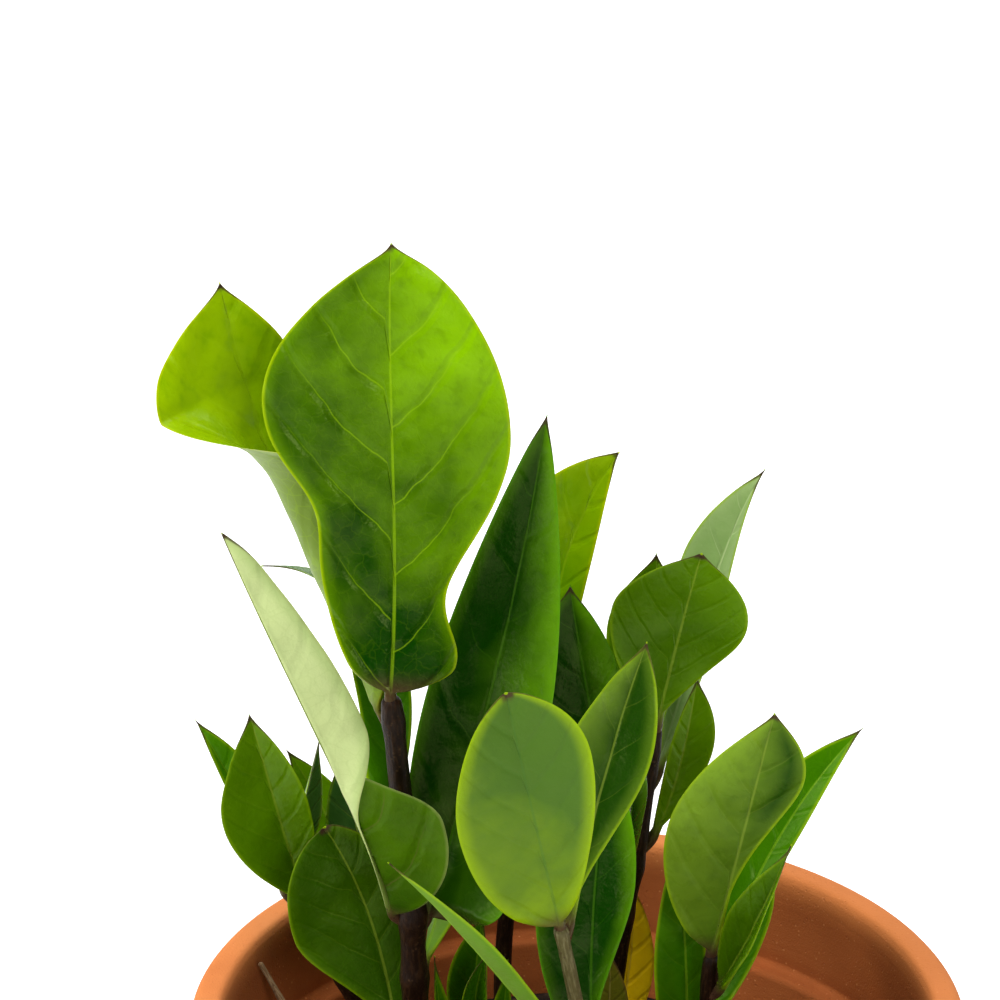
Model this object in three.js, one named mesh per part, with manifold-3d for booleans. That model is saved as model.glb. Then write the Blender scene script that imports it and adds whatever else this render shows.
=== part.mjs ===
// A young ZZ plant (Zamioculcas) in a round terracotta pot.
// Millimetres, +Z up, with the origin at the centre of the pot's underside.
// The pot and the soil are turned shapes, each stem is a tapered tube along a curve, and each
// leaflet is a thin blade bent around its own midrib. The tubers are hidden in the soil.

import * as THREE from "three";
import Module from "manifold-3d";
import { mergeVertices } from "three/addons/utils/BufferGeometryUtils.js";

// ---------------------------------------------------------------- driving dimensions

const POT_HEIGHT = 140;
const RIM_RADIUS = 75; // outside of the rim band
const FOOT_RADIUS = 50; // outside of the wall, at the floor
const BAND_HEIGHT = 27; // rim band, from the rim down
const BAND_STEP = 3; // how far the band stands out from the wall under it
const BAND_TAPER = 1.5; // how much narrower the band is at its lower edge
const WALL = 6;
const LEDGE_DEPTH = 21; // rim down to the ledge on the inside
const LEDGE_STEP = 3.5; // how far the inner wall steps in at that ledge
const POT_FLOOR = 8;
const HOLE_RADIUS = 7; // drainage hole
const EDGE = 1.6; // rounding of the pot's edges

const HEADSPACE = 30; // rim down to the soil
const SOIL_CROWN = 2; // how much higher the soil is in the middle than at the wall
const CLEARANCE = 0.3; // gap between pieces that touch

const GROWTH = 1; // scales the plant about the soil's centre
const STEM_GIRTH = 1; // scales every stem's radius
const LEAF_THICKNESS = 1;
const PETIOLE_HALF = 1.1; // half width of a leaflet where it meets its stem
const TIP_HALF = 0.35; // half width of a leaflet at its tip
const HEEL_AT = 0.06; // where a leaflet's heel is fullest, as a share of its length
const HEEL_REACH = 0.1; // how far a heel goes, unless its outline says otherwise
const WAIST_REACH = 0.12; // how far a waist goes on either side of its middle
const FLAT = 0.001; // the bend in radians that stands for none

const ROUND = 36; // segments round the pot
const STEM_SIDES = 8;
const ACROSS = 4; // divisions of a leaflet from margin to margin
const ALONG = 9; // divisions of a leaflet from base to tip

// ---------------------------------------------------------------- materials

const paint = (color, roughness) => new THREE.MeshStandardMaterial({ color, roughness, metalness: 0 });
const TERRACOTTA = paint(0xc27a4e, 0.85);
const SOIL = paint(0x241a14, 0.95);
const TUBER = paint(0xb89a6a, 0.8);
const STEM_DARK = paint(0x3b2418, 0.5);
const STEM_GREEN = paint(0x5c6a35, 0.5);
const LEAF_GREEN = paint(0x3f8a12, 0.3);
const LEAF_YELLOW = paint(0xd09a12, 0.45);
const LEAF_BROWN = paint(0x7c7a2c, 0.5);
const TWIG_DRY = paint(0x7a6044, 0.9);

// ---------------------------------------------------------------- solids

const wasm = await Module();
wasm.setup();

/** A closed geometry with its shared vertices merged. */
function merged(geometry) {
  geometry.deleteAttribute("normal");
  geometry.deleteAttribute("uv");
  return mergeVertices(geometry, 1e-4);
}

/** The geometry as a manifold solid. */
function solid(geometry) {
  const closed = merged(geometry.clone());
  return new wasm.Manifold(new wasm.Mesh({
    numProp: 3,
    vertProperties: new Float32Array(closed.attributes.position.array),
    triVerts: new Uint32Array(closed.index.array),
  }));
}

/** A manifold solid as a geometry. */
function geometryOf(body) {
  const mesh = body.getMesh();
  const geometry = new THREE.BufferGeometry();
  const places = new Float32Array((mesh.vertProperties.length / mesh.numProp) * 3);
  for (let i = 0; i < places.length / 3; i += 1) {
    for (let axis = 0; axis < 3; axis += 1) {
      places[3 * i + axis] = mesh.vertProperties[mesh.numProp * i + axis];
    }
  }
  geometry.setAttribute("position", new THREE.BufferAttribute(places, 3));
  geometry.setIndex(new THREE.BufferAttribute(new Uint32Array(mesh.triVerts), 1));
  return geometry;
}

/** A turned shape about Z from [radius, height] points; the outline closes on itself or on the axis. */
function turned(outline) {
  const geometry = new THREE.LatheGeometry(outline.map(([r, z]) => new THREE.Vector2(r, z)), ROUND);
  return geometry.rotateX(Math.PI / 2);
}

const vector = ([x, y, z]) => new THREE.Vector3(x, y, z);
const share = (from, to, t) => from + (to - from) * t;

// ---------------------------------------------------------------- pot

const BAND_FOOT = POT_HEIGHT - BAND_HEIGHT;
const SHOULDER_RADIUS = RIM_RADIUS - BAND_TAPER - BAND_STEP;
const LEDGE_HEIGHT = POT_HEIGHT - LEDGE_DEPTH;
const MOUTH_RADIUS = RIM_RADIUS - WALL;

/** Radius of the outer wall under the band, at a height. */
const outerWall = (z) => FOOT_RADIUS + ((SHOULDER_RADIUS - FOOT_RADIUS) * z) / BAND_FOOT;

/** Radius of the inner wall under the ledge, at a height. */
function innerWall(z) {
  const atLedge = MOUTH_RADIUS - BAND_TAPER - LEDGE_STEP;
  const atFloor = outerWall(POT_FLOOR) - WALL;
  return atFloor + ((atLedge - atFloor) * (z - POT_FLOOR)) / (LEDGE_HEIGHT - POT_FLOOR);
}

/** Radius of the inside of the rim, above the ledge, at a height. */
const innerRim = (z) => MOUTH_RADIUS - (BAND_TAPER * (POT_HEIGHT - z)) / LEDGE_DEPTH;

function potGeometry() {
  return turned([
    [HOLE_RADIUS, 0],
    [FOOT_RADIUS - EDGE, 0],
    [FOOT_RADIUS, EDGE],
    [SHOULDER_RADIUS, BAND_FOOT],
    [RIM_RADIUS - BAND_TAPER - EDGE / 2, BAND_FOOT],
    [RIM_RADIUS - BAND_TAPER, BAND_FOOT + EDGE],
    [RIM_RADIUS, POT_HEIGHT - EDGE],
    [RIM_RADIUS - EDGE, POT_HEIGHT],
    [MOUTH_RADIUS + EDGE, POT_HEIGHT],
    [MOUTH_RADIUS, POT_HEIGHT - EDGE],
    [MOUTH_RADIUS - BAND_TAPER, LEDGE_HEIGHT + EDGE],
    [innerWall(LEDGE_HEIGHT), LEDGE_HEIGHT],
    [innerWall(POT_FLOOR + EDGE), POT_FLOOR + EDGE],
    [innerWall(POT_FLOOR) - EDGE, POT_FLOOR],
    [HOLE_RADIUS, POT_FLOOR],
    [HOLE_RADIUS, 0],
  ]);
}

// ---------------------------------------------------------------- plant: where it stands

const SOIL_HEIGHT = POT_HEIGHT - HEADSPACE;

/** A place of the plant, given from the centre of the soil's surface. */
const place = (spot) => vector(spot).multiplyScalar(GROWTH).add(new THREE.Vector3(0, 0, SOIL_HEIGHT));

// Tubers: centre under the soil's surface and half lengths along X, Y and Z.
const TUBERS = {
  tuber_left: { centre: [-34, 3, -22], half: [17, 15, 11] },
  tuber_middle: { centre: [-2, 5, -24], half: [15, 27, 12] },
  tuber_right: { centre: [29, -3, -21], half: [11, 13, 9] },
};

// Stems: tuber, radius at the foot and at the top, and the route from inside the tuber to the top.
const STEMS = {
  stem_tall: {
    tuber: "tuber_left", radii: [3.1, 1.9], material: STEM_DARK,
    route: [
      [-31, -2, -20], [-30.5, -6, 0], [-31.2, -8, 38], [-31.7, -10, 60], [-33.3, -12, 83], [-35, -14, 106],
    ],
  },
  stem_left: {
    tuber: "tuber_left", radii: [2.2, 1.4], material: STEM_DARK,
    route: [[-36, 8, -20], [-35, 10, 0], [-41, 12, 20], [-50, 13.5, 38], [-56.5, 14, 50]],
  },
  stem_front: {
    tuber: "tuber_middle", radii: [2.2, 1.2], material: STEM_GREEN,
    route: [[3, -8, -22], [5, -17, 0], [2.5, -29, 28], [-1.2, -38, 56], [-4.2, -42.5, 74]],
  },
  stem_middle: {
    tuber: "tuber_middle", radii: [2.1, 1.2], material: STEM_DARK,
    route: [[3, 12, -22], [5, 15, 0], [8.5, 15, 35], [12, 12, 61.5], [14.8, 10, 87]],
  },
  stem_back: {
    tuber: "tuber_middle", radii: [2, 1.3], material: STEM_DARK,
    route: [[-11, 20, -22], [-14, 27, 0], [-14.5, 30, 20], [-13, 30, 40], [-8, 28, 62], [-3, 25, 84]],
  },
  stem_right: {
    tuber: "tuber_right", radii: [1.8, 1.3], material: STEM_DARK,
    route: [[24, -3, -18], [22, -4, 0], [24, -7, 30], [25.2, -8, 48]],
  },
  shoot_young: {
    tuber: "tuber_left", radii: [1.8, 1.4], material: STEM_GREEN,
    route: [[-24, 2, -18], [-19.5, 2, 0], [-18.5, 3, 18]],
  },
};

// A dry twig that stands on the soil and leans against the inside of the pot: the way it leans in
// degrees from X, its foot's distance from the wall, how far its top is under the rim, and how far
// it stands off a straight line halfway up.
const TWIG = { radii: [0.8, 0.5], bearing: 158.2, standOff: 12.7, drop: 3.5, bow: 0.8 };

// Leaflets. stem and at: where on the stem (0 foot, 1 top). tip: its end, from the soil's centre.
// face: way its upper side looks, from base to tip. bow: how the midrib stands off a straight line,
// at a third and at two thirds. left and right, seen from above with the tip up: the widest half
// width, the outline, then fold and curl in degrees, how the side rises from the midrib and how
// much further it bends by the margin; a list of angles runs from base to tip.
// Outlines: peak is where the side is widest; base and tip are how fast it narrows towards each end;
// heel is how much of its width it already has at the base, and reach how far that goes; waist is
// how much it draws in at waistAt.
const OBOVATE = { peak: 0.64, base: 0.5, tip: 1 };
const ELLIPTIC = { peak: 0.52, base: 0.6, tip: 1 };
const SPOON = { peak: 0.6, base: 0.6, tip: 0.6 };
const OVATE = { peak: 0.36, base: 0.55, tip: 0.9 };
const LANCE = { peak: 0.45, base: 0.8, tip: 1.3 };
const TOP_LEFT = { peak: 0.65, base: 0.65, tip: 1.05, heel: 0.24, reach: 0.2, waist: 0.22, waistAt: 0.41 };
const TOP_RIGHT = { peak: 0.56, base: 1.45, tip: 0.65, heel: 0.5, reach: 0.12 };

const LEAFLETS = {
  leaf_top: {
    stem: "stem_tall", at: 1, tip: [-34.4, -2, 189], face: [[0.05, -0.9, 0.4]],
    bow: [[2, 2, 0], [-1, 1, 0]],
    left: [23.3, TOP_LEFT, 6, -8],
    right: [21.5, TOP_RIGHT, 6, -8],
  },
  leaf_top_left: {
    stem: "stem_tall", at: 0.955, tip: [-66.3, 16, 175.5], face: [[0.5, -0.6, 0.4], [0.4, -0.8, 0.4]],
    bow: [[-6, 9.5, -1], [-5, 8, 0]],
    left: [24, { peak: 0.71, base: 0.4, tip: 1.2, heel: 0.1 }, [60, 50, 40, 10, 0], [90, 120, 130, 20, 0]],
    right: [12, OBOVATE, 10, 10],
  },
  leaf_top_right: {
    stem: "stem_tall", at: 0.6, tip: [-6.4, 5, 153.8], face: [[0, -0.9, 0.3]],
    bow: [[2.5, 3, 0], [3, 2, 0]],
    left: [12, { peak: 0.4, base: 0.8, tip: 0.8 }, 10, 5],
    right: [15, { peak: 0.36, base: 0.55, tip: 0.9, heel: 0.4 }, 35, 5],
  },
  leaf_tall_back: {
    stem: "stem_tall", at: 0.79, tip: [-59.8, 14, 119],
    face: [[0.2, -0.8, 0.5], [0.2, -0.2, 0.9], [0, 0.4, 0.9]], bow: [[9, 9, 8], [11, 7, 14]],
    left: [6, { peak: 0.4, base: 0.5, tip: 2, heel: 0.2 }, 5, 5], right: [6, ELLIPTIC, 5, 5],
  },
  leaf_folded: {
    stem: "stem_tall", at: 0.625, tip: [-64.3, -27, 145],
    face: [[-0.3, -0.85, 0.4], [0.3, -0.75, 0.5], [0.4, -0.7, 0.5]], bow: [[4.6, -9, 0], [1.5, -5, -2]],
    left: [6.5, { peak: 0.6, base: 1.8, tip: 0.6 }, [120, 150, 140], 10],
    right: [16.5, { peak: 0.28, base: 1.5, tip: 7 }, [0, 30, 80], 5],
  },
  leaf_low_front: {
    stem: "stem_tall", at: 0.37, tip: [-48.3, 0, 71], face: [[0.1, -0.9, 0.4]],
    bow: [[2, 6, 0], [3.5, 3, 0]],
    left: [15.5, { peak: 0.6, base: 1, tip: 0.3 }, 10, 5],
    right: [9, { peak: 0.5, base: 0.8, tip: 0.45 }, 5, 5],
  },
  leaf_left_a: {
    stem: "stem_left", at: 0.85, tip: [-73.6, 19, 84], face: [[0.1, -0.8, 0.5]],
    bow: [[-1, 0, 0], [0, 0, 0]], left: [2, ELLIPTIC, 10, 5],
    right: [5, { peak: 0.62, base: 1.6, tip: 1 }, 10, 5],
  },
  leaf_left_b: {
    stem: "stem_left", at: 0.94, tip: [-62.3, 5, 92.4], face: [[0.2, -0.85, 0.4]],
    bow: [[-1, 0, 0], [0, 0, 0]],
    left: [11.5, { peak: 0.55, base: 0.8, tip: 1 }, 10, 5], right: [6.5, ELLIPTIC, 25, 5],
  },
  leaf_left_c: {
    stem: "stem_left", at: 0.7, tip: [-57, 32, 70.7], face: [[0, -0.8, 0.5]],
    bow: [[6, 9, 0], [4, 6, 0]], left: [4, { peak: 0.6, base: 1.5, tip: 1 }, 10, 5],
    right: [6, ELLIPTIC, 10, 5],
  },
  leaf_left_d: {
    stem: "stem_left", at: 1, tip: [-49.8, 22, 78.4], face: [[0.9, -0.3, 0.3]],
    bow: [[0, 0, 0], [0, 0, 0]], left: [5, LANCE, 20, 5], right: [5, LANCE, 20, 5],
  },
  leaf_left_e: {
    stem: "stem_left", at: 0.8, tip: [-46, 23, 73], face: [[-0.3, -0.7, 0.6]],
    bow: [[5, -1, 0], [5, -1, 0]], left: [6, SPOON, 10, 5], right: [6, SPOON, 10, 5],
  },
  leaf_front_round: {
    stem: "stem_front", at: 1, tip: [-14, -51, 125.5], face: [[0, -0.9, 0.4]],
    bow: [[0, -2, 0], [0, -2, 0]],
    left: [14, { peak: 0.5, base: 0.45, tip: 0.65 }, 8, 8],
    right: [12.6, { peak: 0.72, base: 0.3, tip: 0.5 }, 8, 8],
  },
  leaf_front_right: {
    stem: "stem_front", at: 0.985, tip: [11.5, -22, 121], face: [[0.35, -0.8, 0.4]],
    bow: [[-1, 0, 0], [-1.5, 0, 0]],
    left: [10, ELLIPTIC, 10, 5], right: [7.3, { peak: 0.6, base: 1.3, tip: 0.8 }, 20, 5],
  },
  leaf_front_dark: {
    stem: "stem_front", at: 0.62, tip: [5.5, -14, 93], face: [[0.1, -0.85, 0.4]],
    bow: [[-2, 2, 0], [-2, 2, 0]],
    left: [12, ELLIPTIC, 15, 10], right: [8, { peak: 0.6, base: 1.3, tip: 0.8 }, 25, 10],
  },
  leaf_front_edge: {
    stem: "stem_front", at: 0.66, tip: [-34.5, -62, 98], face: [[0.35, 0.4, 0.85]],
    bow: [[0, 0, 2], [0, 0, 3]], left: [5, LANCE, 25, 5], right: [5, LANCE, 25, 5],
  },
  leaf_back_top: {
    stem: "stem_back", at: 1, tip: [7.7, 30, 135.3], face: [[0.2, -0.8, 0.4]],
    bow: [[-8, 2, 0], [-7, 2, 0]],
    left: [13, { peak: 0.6, base: 0.8, tip: 0.7 }, 10, 5], right: [5, ELLIPTIC, 10, 5],
  },
  leaf_middle_left: {
    stem: "stem_middle", at: 0.72, tip: [-1.8, 14, 115], face: [[-0.1, -0.8, 0.5]],
    bow: [[-1, 1, 0], [-1, 0, 0]], left: [12, OBOVATE, 10, 5], right: [7, OBOVATE, 10, 5],
  },
  leaf_middle_top: {
    stem: "stem_middle", at: 1, tip: [22.4, 5, 125.9], face: [[0.1, -0.7, 0.7]],
    bow: [[0, 2, 0], [0, 2, 0]],
    left: [14, { peak: 0.62, base: 0.5, tip: 0.8 }, 8, 5],
    right: [12, { peak: 0.66, base: 0.8, tip: 0.8 }, 8, 5],
  },
  leaf_middle_back: {
    stem: "stem_middle", at: 0.95, tip: [14.8, 26, 116], face: [[-0.1, -0.7, 0.6]],
    bow: [[-1, 6, 0], [1, 6, 0]], left: [9, ELLIPTIC, 8, 5], right: [6, ELLIPTIC, 8, 5],
  },
  leaf_middle_long: {
    stem: "stem_middle", at: 0.9, tip: [35, 25, 134], face: [[-0.5, -0.6, 0.5]],
    bow: [[2, 14, 0], [-3, 6, 0]],
    left: [8, { peak: 0.55, base: 1, tip: 1 }, 15, 5], right: [5, LANCE, 15, 5],
  },
  leaf_middle_low: {
    stem: "stem_middle", at: 0.77, tip: [22.4, 11.5, 97], face: [[0.2, -0.8, 0.5]],
    bow: [[2.5, 0, 0], [1, 0, 0]], left: [3, ELLIPTIC, 8, 5],
    right: [5.5, { peak: 0.6, base: 0.8, tip: 1 }, 8, 5],
  },
  leaf_middle_dark: {
    stem: "stem_middle", at: 0.7, tip: [10.5, -4, 92], face: [[0.6, -0.6, 0.4]],
    bow: [[-1, -4, 0], [0, -2, 0]], left: [4, ELLIPTIC, 8, 5], right: [4, ELLIPTIC, 8, 5],
  },
  leaf_yellow: {
    stem: "stem_middle", at: 0.28, tip: [10.9, 22, 46.6], face: [[0.1, -0.85, 0.4]], material: LEAF_YELLOW,
    bow: [[2.5, 1, 0], [2.5, 1, 0]], left: [5.5, ELLIPTIC, 8, 5], right: [5.5, ELLIPTIC, 8, 5],
  },
  leaf_brown: {
    stem: "stem_middle", at: 0.26, tip: [6.2, 7, 40], face: [[0.1, -0.85, 0.4]], material: LEAF_BROWN,
    bow: [[1, 0, 0], [1, 0, 0]], left: [4, ELLIPTIC, 8, 5], right: [4, ELLIPTIC, 8, 5],
  },
  leaf_right_front: {
    stem: "stem_right", at: 1, tip: [35.4, -14, 102.4], face: [[0, -0.9, 0.4]],
    bow: [[0, -1, 0], [0, -1, 0]],
    left: [14.5, { peak: 0.5, base: 0.6, tip: 1 }, 8, 5],
    right: [8.5, { peak: 0.78, base: 1, tip: 0.8 }, 8, 5],
  },
  leaf_right_back: {
    stem: "stem_right", at: 0.95, tip: [53.8, 8, 87.9], face: [[-0.2, -0.7, 0.6]],
    bow: [[-3, 3, 0], [-4, 3, 0]], left: [7.5, ELLIPTIC, 8, 5], right: [3.5, ELLIPTIC, 8, 5],
  },
  leaf_right_edge: {
    stem: "stem_right", at: 0.9, tip: [38.9, -19, 77.7], face: [[-0.8, -0.4, 0.4]],
    bow: [[0, -3, 0], [0, -3, 0]], left: [6, LANCE, 25, 5], right: [6, LANCE, 25, 5],
  },
  leaf_right_low: {
    stem: "stem_right", at: 0.73, tip: [37.2, 14, 62], face: [[-0.2, -0.8, 0.5]],
    bow: [[2, 5, 0], [1, 3, 0]], left: [2.6, ELLIPTIC, 8, 5], right: [5, ELLIPTIC, 8, 5],
  },
  leaf_right_left: {
    stem: "stem_right", at: 0.48, tip: [18.4, 0, 67], face: [[0.1, -0.8, 0.5]],
    bow: [[1.5, 0, 0], [1.5, 0, 0]],
    left: [6.5, { peak: 0.5, base: 0.5, tip: 0.8 }, 8, 5], right: [4, ELLIPTIC, 8, 5],
  },
  leaf_rear_tall: {
    stem: "stem_tall", at: 0.5, tip: [-14, 24, 92], face: [[0.5, 0.7, 0.4]],
    bow: [[0, 4, -3], [0, 3, -3]], left: [8, OBOVATE, 15, 5], right: [8, OBOVATE, 15, 5],
  },
  leaf_rear_back: {
    stem: "stem_back", at: 0.62, tip: [-17, 49, 88], face: [[0.8, 0.3, 0.4]],
    bow: [[0, 3, -2], [0, 3, -2]], left: [8, OBOVATE, 15, 5], right: [8, OBOVATE, 15, 5],
  },
  leaf_rear_middle: {
    stem: "stem_middle", at: 0.6, tip: [7, 43, 84], face: [[-0.8, 0.4, 0.4]],
    bow: [[0, 3, -2], [0, 3, -2]], left: [7, ELLIPTIC, 15, 5], right: [7, ELLIPTIC, 15, 5],
  },
  leaf_rear_right: {
    stem: "stem_right", at: 0.55, tip: [33, 24, 62], face: [[0.7, 0.5, 0.4]],
    bow: [[-2, 3, -2], [0, 3, -2]], left: [6, ELLIPTIC, 15, 5], right: [6, ELLIPTIC, 15, 5],
  },
  leaf_shoot_back: {
    stem: "shoot_young", at: 0.95, tip: [-18.1, 6, 49], face: [[-0.2, -0.8, 0.5]],
    bow: [[-1, 0, 0], [-1, 0, 0]], left: [5.5, ELLIPTIC, 20, 10], right: [3, ELLIPTIC, 20, 10],
  },
  leaf_shoot_rolled: {
    stem: "shoot_young", at: 1, tip: [-17.5, -3, 45], face: [[0, -0.8, 0.5]],
    bow: [[-2, -3, 0], [-3, -3, 0]], left: [5, OBOVATE, 30, 60], right: [5, OBOVATE, 30, 60],
  },
  leaf_shoot_left: {
    stem: "shoot_young", at: 0.7, tip: [-27.5, -3, 44.5], face: [[0.6, -0.6, 0.4]],
    bow: [[-2, -1, 0], [-2, 0, 0]], left: [3, LANCE, 20, 10], right: [3, LANCE, 20, 10],
  },
  leaf_shoot_right: {
    stem: "shoot_young", at: 0.75, tip: [-13.5, 10, 36], face: [[-0.4, -0.7, 0.5]],
    bow: [[1, 1, 0], [1, 1, 0]], left: [3, LANCE, 20, 10], right: [3, LANCE, 20, 10],
  },
};

/** The curve of a stem. */
function stemCurve({ route }) {
  return new THREE.CatmullRomCurve3(route.map(place), false, "centripetal");
}

/** Radius of a stem at a share of its length. */
const stemRadius = ({ radii: [foot, top] }, at) => STEM_GIRTH * GROWTH * (foot + (top - foot) * at);

/** A round tube along a curve, with the radius that radiusAt gives from 0 at its foot to 1 at its top. */
function tubeGeometry(curve, radiusAt) {
  const steps = 3 * (curve.points.length - 1);
  const tube = new THREE.CylinderGeometry(1, 1, 1, STEM_SIDES, steps);
  const spots = tube.attributes.position;
  for (let i = 0; i < spots.count; i += 1) {
    const at = spots.getY(i) + 0.5;
    const centre = curve.getPointAt(at);
    const along = curve.getTangentAt(at);
    const side = new THREE.Vector3(1, 0, 0).projectOnPlane(along).normalize();
    const front = new THREE.Vector3().crossVectors(side, along);
    const radius = radiusAt(at);
    centre.addScaledVector(side, radius * spots.getX(i));
    centre.addScaledVector(front, radius * spots.getZ(i));
    spots.setXYZ(i, centre.x, centre.y, centre.z);
  }
  return tube;
}

/** A tapered tube along the stem's curve, its surface moved out by grow. */
function stemGeometry(stem, grow = 0) {
  return tubeGeometry(stemCurve(stem), (at) => stemRadius(stem, at) + grow);
}

/** The twig, from the soil to where it meets the inside of the pot. */
function twigGeometry({ radii: [footRadius, topRadius], bearing, standOff, drop, bow }) {
  const height = POT_HEIGHT - drop;
  const flatness = Math.cos(Math.PI / ROUND);
  const foot = innerWall(SOIL_HEIGHT) - standOff;
  const top = innerRim(height) * flatness - topRadius - CLEARANCE;
  const turn = THREE.MathUtils.degToRad(bearing);
  const spot = (radius, z) => new THREE.Vector3(radius * Math.cos(turn), radius * Math.sin(turn), z);
  const curve = new THREE.CatmullRomCurve3([
    spot(foot, SOIL_HEIGHT),
    spot((foot + top) / 2 + bow, (SOIL_HEIGHT + height) / 2),
    spot(top, height),
  ], false, "centripetal");
  return tubeGeometry(curve, (at) => share(footRadius, topRadius, at));
}

/** A tuber, its surface moved out by grow. */
function tuberGeometry({ centre, half }, grow = 0) {
  const middle = place(centre);
  const ball = new THREE.SphereGeometry(1, 14, 8);
  ball.scale(...half.map((length) => length * GROWTH + grow));
  return ball.translate(middle.x, middle.y, middle.z);
}

// ---------------------------------------------------------------- plant: leaflets

/** The two neighbours of t in a list that runs from 0 to 1, and how far t is between them. */
function between(list, t) {
  const spot = t * (list.length - 1);
  const low = Math.min(Math.floor(spot), Math.max(list.length - 2, 0));
  return [list[low], list[Math.min(low + 1, list.length - 1)], spot - low];
}

/** The direction at t in a list of directions. */
function directionAt(list, t) {
  const [low, high, part] = between(list, t);
  return vector(low).lerp(vector(high), part);
}

/** The angle at t, in radians, of one angle or of a list of angles in degrees. */
function angleAt(degrees, t) {
  const [low, high, part] = between([degrees].flat(), t);
  return THREE.MathUtils.degToRad(share(low, high, part));
}

/** One at the middle of a bell curve, falling off on both sides. */
const bell = (u, middle, reach) => Math.exp(-(((u - middle) / reach) ** 2));

/** Half width of a leaflet at u: a sine that peaks at the widest place, a waist, and a round heel. */
function halfWidth(widest, outline, u) {
  const { peak, base, tip, heel = 0, reach = HEEL_REACH, waist = 0, waistAt = 0.5 } = outline;
  const swell = Math.max(Math.sin(Math.PI * u ** (Math.log(0.5) / Math.log(peak))), 0);
  const body = swell ** (u < peak ? base : tip) * (1 - waist * bell(u, waistAt, WAIST_REACH));
  const fromHeel = Math.max(1 - u / HEEL_AT, 0);
  const lobe = heel * bell(u, HEEL_AT, reach) * Math.sqrt(1 - fromHeel ** 2);
  return Math.max(widest * GROWTH * (body + lobe), share(PETIOLE_HALF, TIP_HALF, u));
}

/** The frame of a leaflet at u: midrib point, way to its right, and way its upper side looks. */
function leafFrame(leaf, midrib, u) {
  const centre = midrib.getPoint(u);
  const forward = midrib.getTangent(u);
  const up = directionAt(leaf.face, u).projectOnPlane(forward).normalize();
  const right = new THREE.Vector3().crossVectors(forward, up);
  return { centre, right, up };
}

/** The midrib: from just outside the stem to the tip, bowed off the straight line. */
function leafMidrib(leaf) {
  const stem = STEMS[leaf.stem];
  const curve = stemCurve(stem);
  const foot = curve.getPointAt(leaf.at);
  const tip = place(leaf.tip);
  const reach = tip.clone().sub(foot);
  const alongStem = curve.getTangentAt(leaf.at);
  if (leaf.at === 1) {
    foot.addScaledVector(alongStem, CLEARANCE + LEAF_THICKNESS / 2);
  } else {
    const out = reach.clone().projectOnPlane(alongStem).normalize();
    foot.addScaledVector(out, stemRadius(stem, leaf.at) + CLEARANCE + PETIOLE_HALF);
  }
  reach.copy(tip).sub(foot);
  const [early, late] = leaf.bow.map((off) => vector(off).multiplyScalar(GROWTH));
  return new THREE.CubicBezierCurve3(
    foot,
    foot.clone().addScaledVector(reach, 1 / 3).add(early),
    foot.clone().addScaledVector(reach, 2 / 3).add(late),
    tip,
  );
}

/** A blade bent around its midrib: on each side the section is an arc that starts at fold. */
function leafGeometry(leaf) {
  const midrib = leafMidrib(leaf);
  const blade = new THREE.BoxGeometry(2, 1, 1, ACROSS, ALONG, 1);
  const spots = blade.attributes.position;
  for (let i = 0; i < spots.count; i += 1) {
    const v = spots.getX(i);
    const u = spots.getY(i) + 0.5;
    const { centre, right, up } = leafFrame(leaf, midrib, u);
    const [widest, outline, foldDegrees, curlDegrees] = v < 0 ? leaf.left : leaf.right;
    const full = halfWidth(widest, outline, u);
    const fold = angleAt(foldDegrees, u);
    const curl = angleAt(curlDegrees, u) || FLAT;
    const turn = fold + curl * Math.abs(v);
    const out = (full / curl) * (Math.sin(turn) - Math.sin(fold)) * Math.sign(v);
    const rise = (full / curl) * (Math.cos(fold) - Math.cos(turn));
    const off = LEAF_THICKNESS * spots.getZ(i);
    centre.addScaledVector(right, out - off * Math.sin(turn) * Math.sign(v));
    centre.addScaledVector(up, rise + off * Math.cos(turn));
    spots.setXYZ(i, centre.x, centre.y, centre.z);
  }
  return blade;
}

// ---------------------------------------------------------------- soil

/** The soil fills the pot to its surface, with room for each tuber and each stem. */
function soilGeometry() {
  const top = SOIL_HEIGHT;
  const edge = top - SOIL_CROWN;
  const fill = solid(turned([
    [0, POT_FLOOR + CLEARANCE],
    [innerWall(POT_FLOOR) - EDGE - CLEARANCE, POT_FLOOR + CLEARANCE],
    [innerWall(POT_FLOOR + EDGE) - CLEARANCE, POT_FLOOR + EDGE + CLEARANCE],
    [innerWall(edge) - CLEARANCE, edge],
    [innerWall(edge) / 2, top - SOIL_CROWN / 4],
    [0, top],
  ]));
  const rooms = [
    ...Object.values(TUBERS).map((tuber) => solid(tuberGeometry(tuber, CLEARANCE))),
    ...Object.values(STEMS).map((stem) => solid(stemGeometry(stem, CLEARANCE))),
  ];
  return geometryOf(rooms.reduce((left, room) => left.subtract(room), fill));
}

// ---------------------------------------------------------------- assembly

const plant = new THREE.Group();

function add(name, geometry, material) {
  const mesh = new THREE.Mesh(geometry, material);
  mesh.name = name;
  plant.add(mesh);
}

add("pot", potGeometry(), TERRACOTTA);
add("soil", soilGeometry(), SOIL);
add("dry_twig", twigGeometry(TWIG), TWIG_DRY);

for (const [name, tuber] of Object.entries(TUBERS)) {
  add(name, tuberGeometry(tuber), TUBER);
}

for (const [name, stem] of Object.entries(STEMS)) {
  const room = solid(tuberGeometry(TUBERS[stem.tuber], CLEARANCE));
  add(name, geometryOf(solid(stemGeometry(stem)).subtract(room)), stem.material);
}

for (const [name, leaf] of Object.entries(LEAFLETS)) {
  add(name, leafGeometry(leaf), leaf.material ?? LEAF_GREEN);
}

export default plant;
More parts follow.
